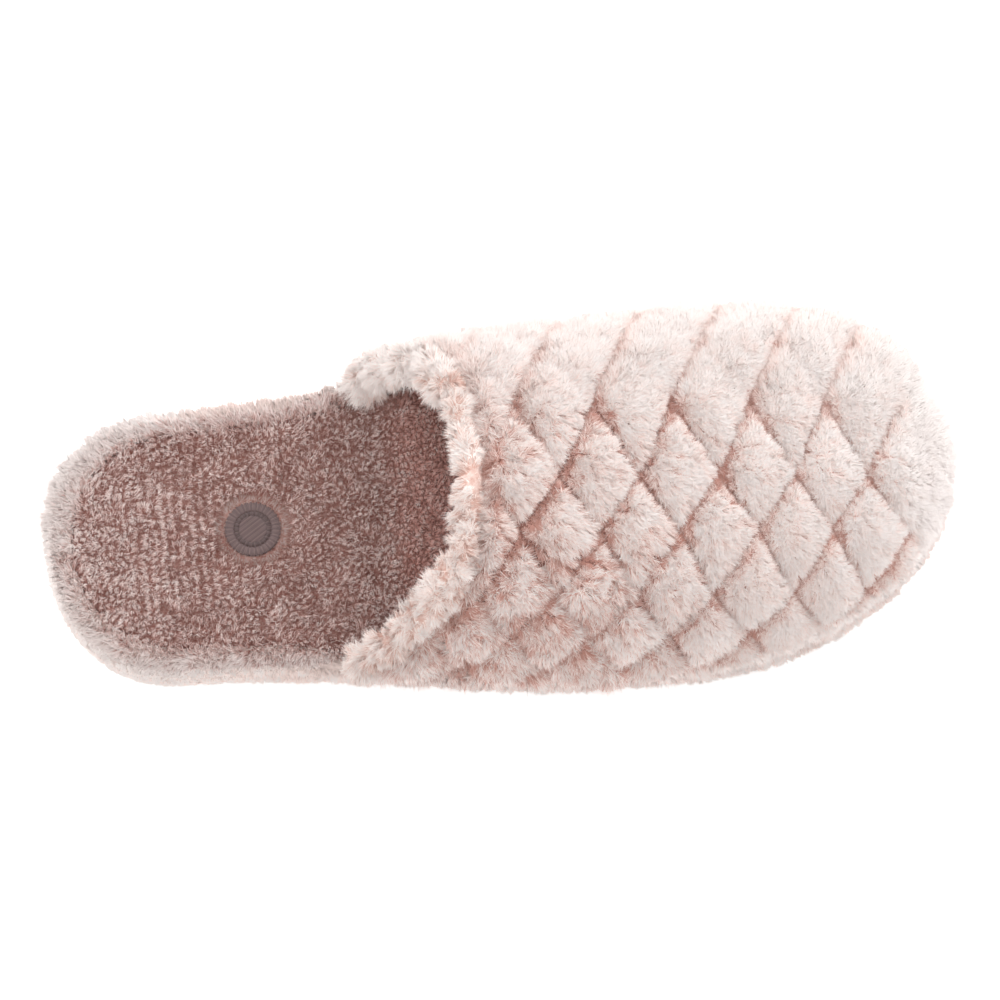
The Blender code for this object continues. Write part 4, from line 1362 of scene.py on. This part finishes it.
class Settings_Disc(bpy.types.PropertyGroup):
    dark: colour("Dark", "Colour of the thread in shade", (0.058, 0.036, 0.035))
    pale: colour("Pale", "Colour of the thread in light", (0.235, 0.155, 0.150))


def ray(turn):
    return np.array([math.cos(turn), math.sin(turn), 0.0])


def stitch_points(level):
    """Ends and tones of the disc's stitches: a satin border of spokes, a ring inside it, then level rows."""
    stitches = []
    centre = np.array([PATCH_FROM_HEEL, PATCH_ACROSS, level]) - CENTRE * np.array([1, 1, 0])
    for k in range(BORDER_STITCHES):
        spoke = ray(2 * math.pi * k / BORDER_STITCHES)
        ragged = RAGGED * math.sin(k * GOLDEN_ANGLE)
        outer = PATCH_RADIUS + BORDER_OVERHANG - ragged
        stitches.append((centre + spoke * (BORDER_INNER + ragged), centre + spoke * outer, 0.7))
    for k in range(RING_STITCHES):
        spoke = ray(2 * math.pi * (k + 0.5) / RING_STITCHES)
        stitches.append((centre + spoke * RING_INNER, centre + spoke * RING_OUTER, 0.25))
    run = ray(ROW_TURN)
    over = np.array([-run[1], run[0], 0.0])
    for k in range(-ROW_COUNT, ROW_COUNT + 1):
        off = k * ROW_PITCH
        half = math.sqrt(max(0.0, RING_INNER**2 - off * off))
        if half > SHORTEST_ROW:
            stitches.append((centre + over * off - run * half, centre + over * off + run * half, 0.65))
    return stitches


class SLIPPER_OT_disc(bpy.types.Operator):
    """Makes the plain round embroidered disc, stitch by stitch"""

    bl_idname = "slipper.disc"
    bl_label = "Embroidered disc"

    def execute(self, context):
        s = context.scene.slipper_disc
        thread = thread_material("disc_thread", s.dark, s.pale)
        dress("embroidered_patch", fleece_material("disc_felt", s.dark, s.pale, 1500.0, 0.0001))
        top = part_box("embroidered_patch")[1].z
        spans = ((0.0, 0.0), (0.12, 0.8), (0.5, 1.0), (0.88, 0.8), (1.0, 0.0))
        points, faces, tones, heights = [], [], [], []
        for stitch, (a, b, tone) in enumerate(stitch_points(top)):
            over = np.cross(np.array([0, 0, 1.0]), unit(b - a))
            first = len(points)
            for f, rise in spans:
                for turn, up in ((-1, 0.0), (0, 1.0), (1, 0.0)):
                    lift = STITCH_CLEARANCE + STITCH_RISE * rise * (0.15 + 0.85 * up)
                    points.append(mix(a, b, f) + over * (turn * STITCH_HALF_WIDTH) + np.array([0, 0, lift]))
                    heights.append(up * rise)
                    tones.append(tone + 0.35 * math.sin(stitch * GOLDEN_ANGLE))
            for k in range(len(spans) - 1):
                for j in range(2):
                    p = first + k * 3 + j
                    faces.append((p, p + 3, p + 4, p + 1))
        mesh = plain_mesh("disc_stitches", points, faces)
        chart = mesh.uv_layers.new(name="pile_map")
        corners = np.zeros(len(mesh.loops), np.int32)
        mesh.loops.foreach_get("vertex_index", corners)
        pairs = np.stack([np.clip(np.array(tones), 0, 1)[corners], np.array(heights)[corners]], -1)
        chart.data.foreach_set("uv", pairs.astype(np.float32).reshape(-1))
        mesh.shade_smooth()
        mesh.materials.append(thread)
        riding(link("disc_stitches", mesh), "patch_thread")
        return {"FINISHED"}


class Settings_Outsole(bpy.types.PropertyGroup):
    rubber: colour("Rubber", "Colour of the moulded sole", (0.30, 0.245, 0.225))


class SLIPPER_OT_outsole(bpy.types.Operator):
    """Gives the moulded sole its rubber"""

    bl_idname = "slipper.outsole"
    bl_label = "Rubber sole"

    def execute(self, context):
        dress("outsole", rubber_material(tuple(context.scene.slipper_outsole.rubber)))
        return {"FINISHED"}


class Settings_Stage(bpy.types.PropertyGroup):
    elevation: degrees("Elevation", "How steeply the camera looks down", 72)
    roll: degrees("Roll", "Turn of the camera about its line of sight", 4.3)
    width: metres("Width", "Width of the picture at the slipper", 0.2893)
    key: number("Key light", "Power of the large light over the toe", 2.9)
    back: number("Back light", "Power of the light behind the inner side", 0.3)
    fill: number("Fill light", "Power of the soft light by the camera", 1.9)
    heel: number("Heel light", "Power of the soft light behind the heel", 1.35)
    sky: number("Surround", "Strength of the even light all round", 0.785)


def soft_light(name, place, aim, size, power):
    lamp = bpy.data.lights.new(name, "AREA")
    lamp.shape = "RECTANGLE"
    lamp.size, lamp.size_y = size
    lamp.energy = power
    thing = link(name, lamp)
    thing.location = place
    thing.rotation_euler = (Vector(aim) - Vector(place)).to_track_quat("-Z", "Y").to_euler()


class SLIPPER_OT_stage(bpy.types.Operator):
    """Sets the pale floor, the soft studio light and the camera"""

    bl_idname = "slipper.stage"
    bl_label = "Studio"

    def execute(self, context):
        scene = context.scene
        s = scene.slipper_stage
        down, turn = s.elevation, s.roll
        ahead = Vector((0, math.cos(down), -math.sin(down)))
        over = Vector((0, math.sin(down), math.cos(down)))
        right = Vector((1, 0, 0)) * math.cos(turn) - over * math.sin(turn)
        up = Vector((1, 0, 0)) * math.sin(turn) + over * math.cos(turn)
        lens = bpy.data.cameras.new("camera")
        lens.type = "ORTHO"
        lens.ortho_scale = s.width
        lens.clip_end = 10.0
        camera = link("camera", lens)
        turned = Matrix((right, up, -ahead)).transposed().to_4x4()
        camera.matrix_world = Matrix.Translation(AIM - ahead * AIM_DISTANCE) @ turned
        scene.camera = camera

        world = bpy.data.worlds.new("studio")
        world.use_nodes = True
        surround = world.node_tree.nodes["Background"]
        surround.inputs["Color"].default_value = (1.0, 0.972, 0.958, 1.0)
        surround.inputs["Strength"].default_value = s.sky
        scene.world = world
        scene.view_settings.view_transform = "Standard"

        soft_light("key", (0.42, 0.27, 0.48), (0, 0, 0.02), (0.6, 0.6), s.key)
        soft_light("back", (-0.08, 0.50, 0.34), (-0.01, 0, 0.03), (0.5, 0.3), s.back)
        soft_light("fill", AIM - ahead * FILL_DISTANCE, AIM, (0.7, 0.7), s.fill)
        soft_light("heel", (-0.56, 0.14, 0.38), (-0.06, 0, 0.02), (0.5, 0.5), s.heel)
        bpy.ops.mesh.primitive_plane_add(size=FLOOR_SIZE)
        floor = context.active_object
        floor.name = "studio_floor"
        floor.location = (0, 0, -FLOOR_DROP)
        paper = {
            "Base Color": (0.92, 0.92, 0.92, 1),
            "Roughness": 0.9,
            "Specular IOR Level": 0.0,
            "Emission Color": (1, 1, 1, 1),
            "Emission Strength": 0.55,
        }
        floor.data.materials.append(new_material("white_sweep", paper)[0])
        return {"FINISHED"}


class SLIPPER_PT_panel(bpy.types.Panel):
    """Lists the slipper's pieces in the 3D view's sidebar"""

    bl_label = "Quilted clog slipper"
    bl_idname = "SLIPPER_PT_panel"
    bl_space_type = "VIEW_3D"
    bl_region_type = "UI"
    bl_category = "Slipper"

    def draw(self, context):
        for operator, name, group in STEPS:
            box = self.layout.box()
            box.operator(operator.bl_idname)
            for setting in group.__annotations__:
                box.prop(getattr(context.scene, name), setting)


STEPS = (
    (SLIPPER_OT_upper, "slipper_upper", Settings_Upper),
    (SLIPPER_OT_collar, "slipper_collar", Settings_Collar),
    (SLIPPER_OT_platform, "slipper_platform", Settings_Platform),
    (SLIPPER_OT_footbed, "slipper_footbed", Settings_Footbed),
    (SLIPPER_OT_disc, "slipper_disc", Settings_Disc),
    (SLIPPER_OT_outsole, "slipper_outsole", Settings_Outsole),
    (SLIPPER_OT_stage, "slipper_stage", Settings_Stage),
)


def register():
    for operator, name, group in STEPS:
        bpy.utils.register_class(group)
        bpy.utils.register_class(operator)
        setattr(bpy.types.Scene, name, PointerProperty(type=group))
    bpy.utils.register_class(SLIPPER_PT_panel)


def unregister():
    bpy.utils.unregister_class(SLIPPER_PT_panel)
    for operator, name, group in reversed(STEPS):
        delattr(bpy.types.Scene, name)
        bpy.utils.unregister_class(operator)
        bpy.utils.unregister_class(group)


def main():
    register()
    for operator, _, _ in STEPS:
        area, name = operator.bl_idname.split(".")
        getattr(getattr(bpy.ops, area), name)()


if __name__ == "__main__":
    main()
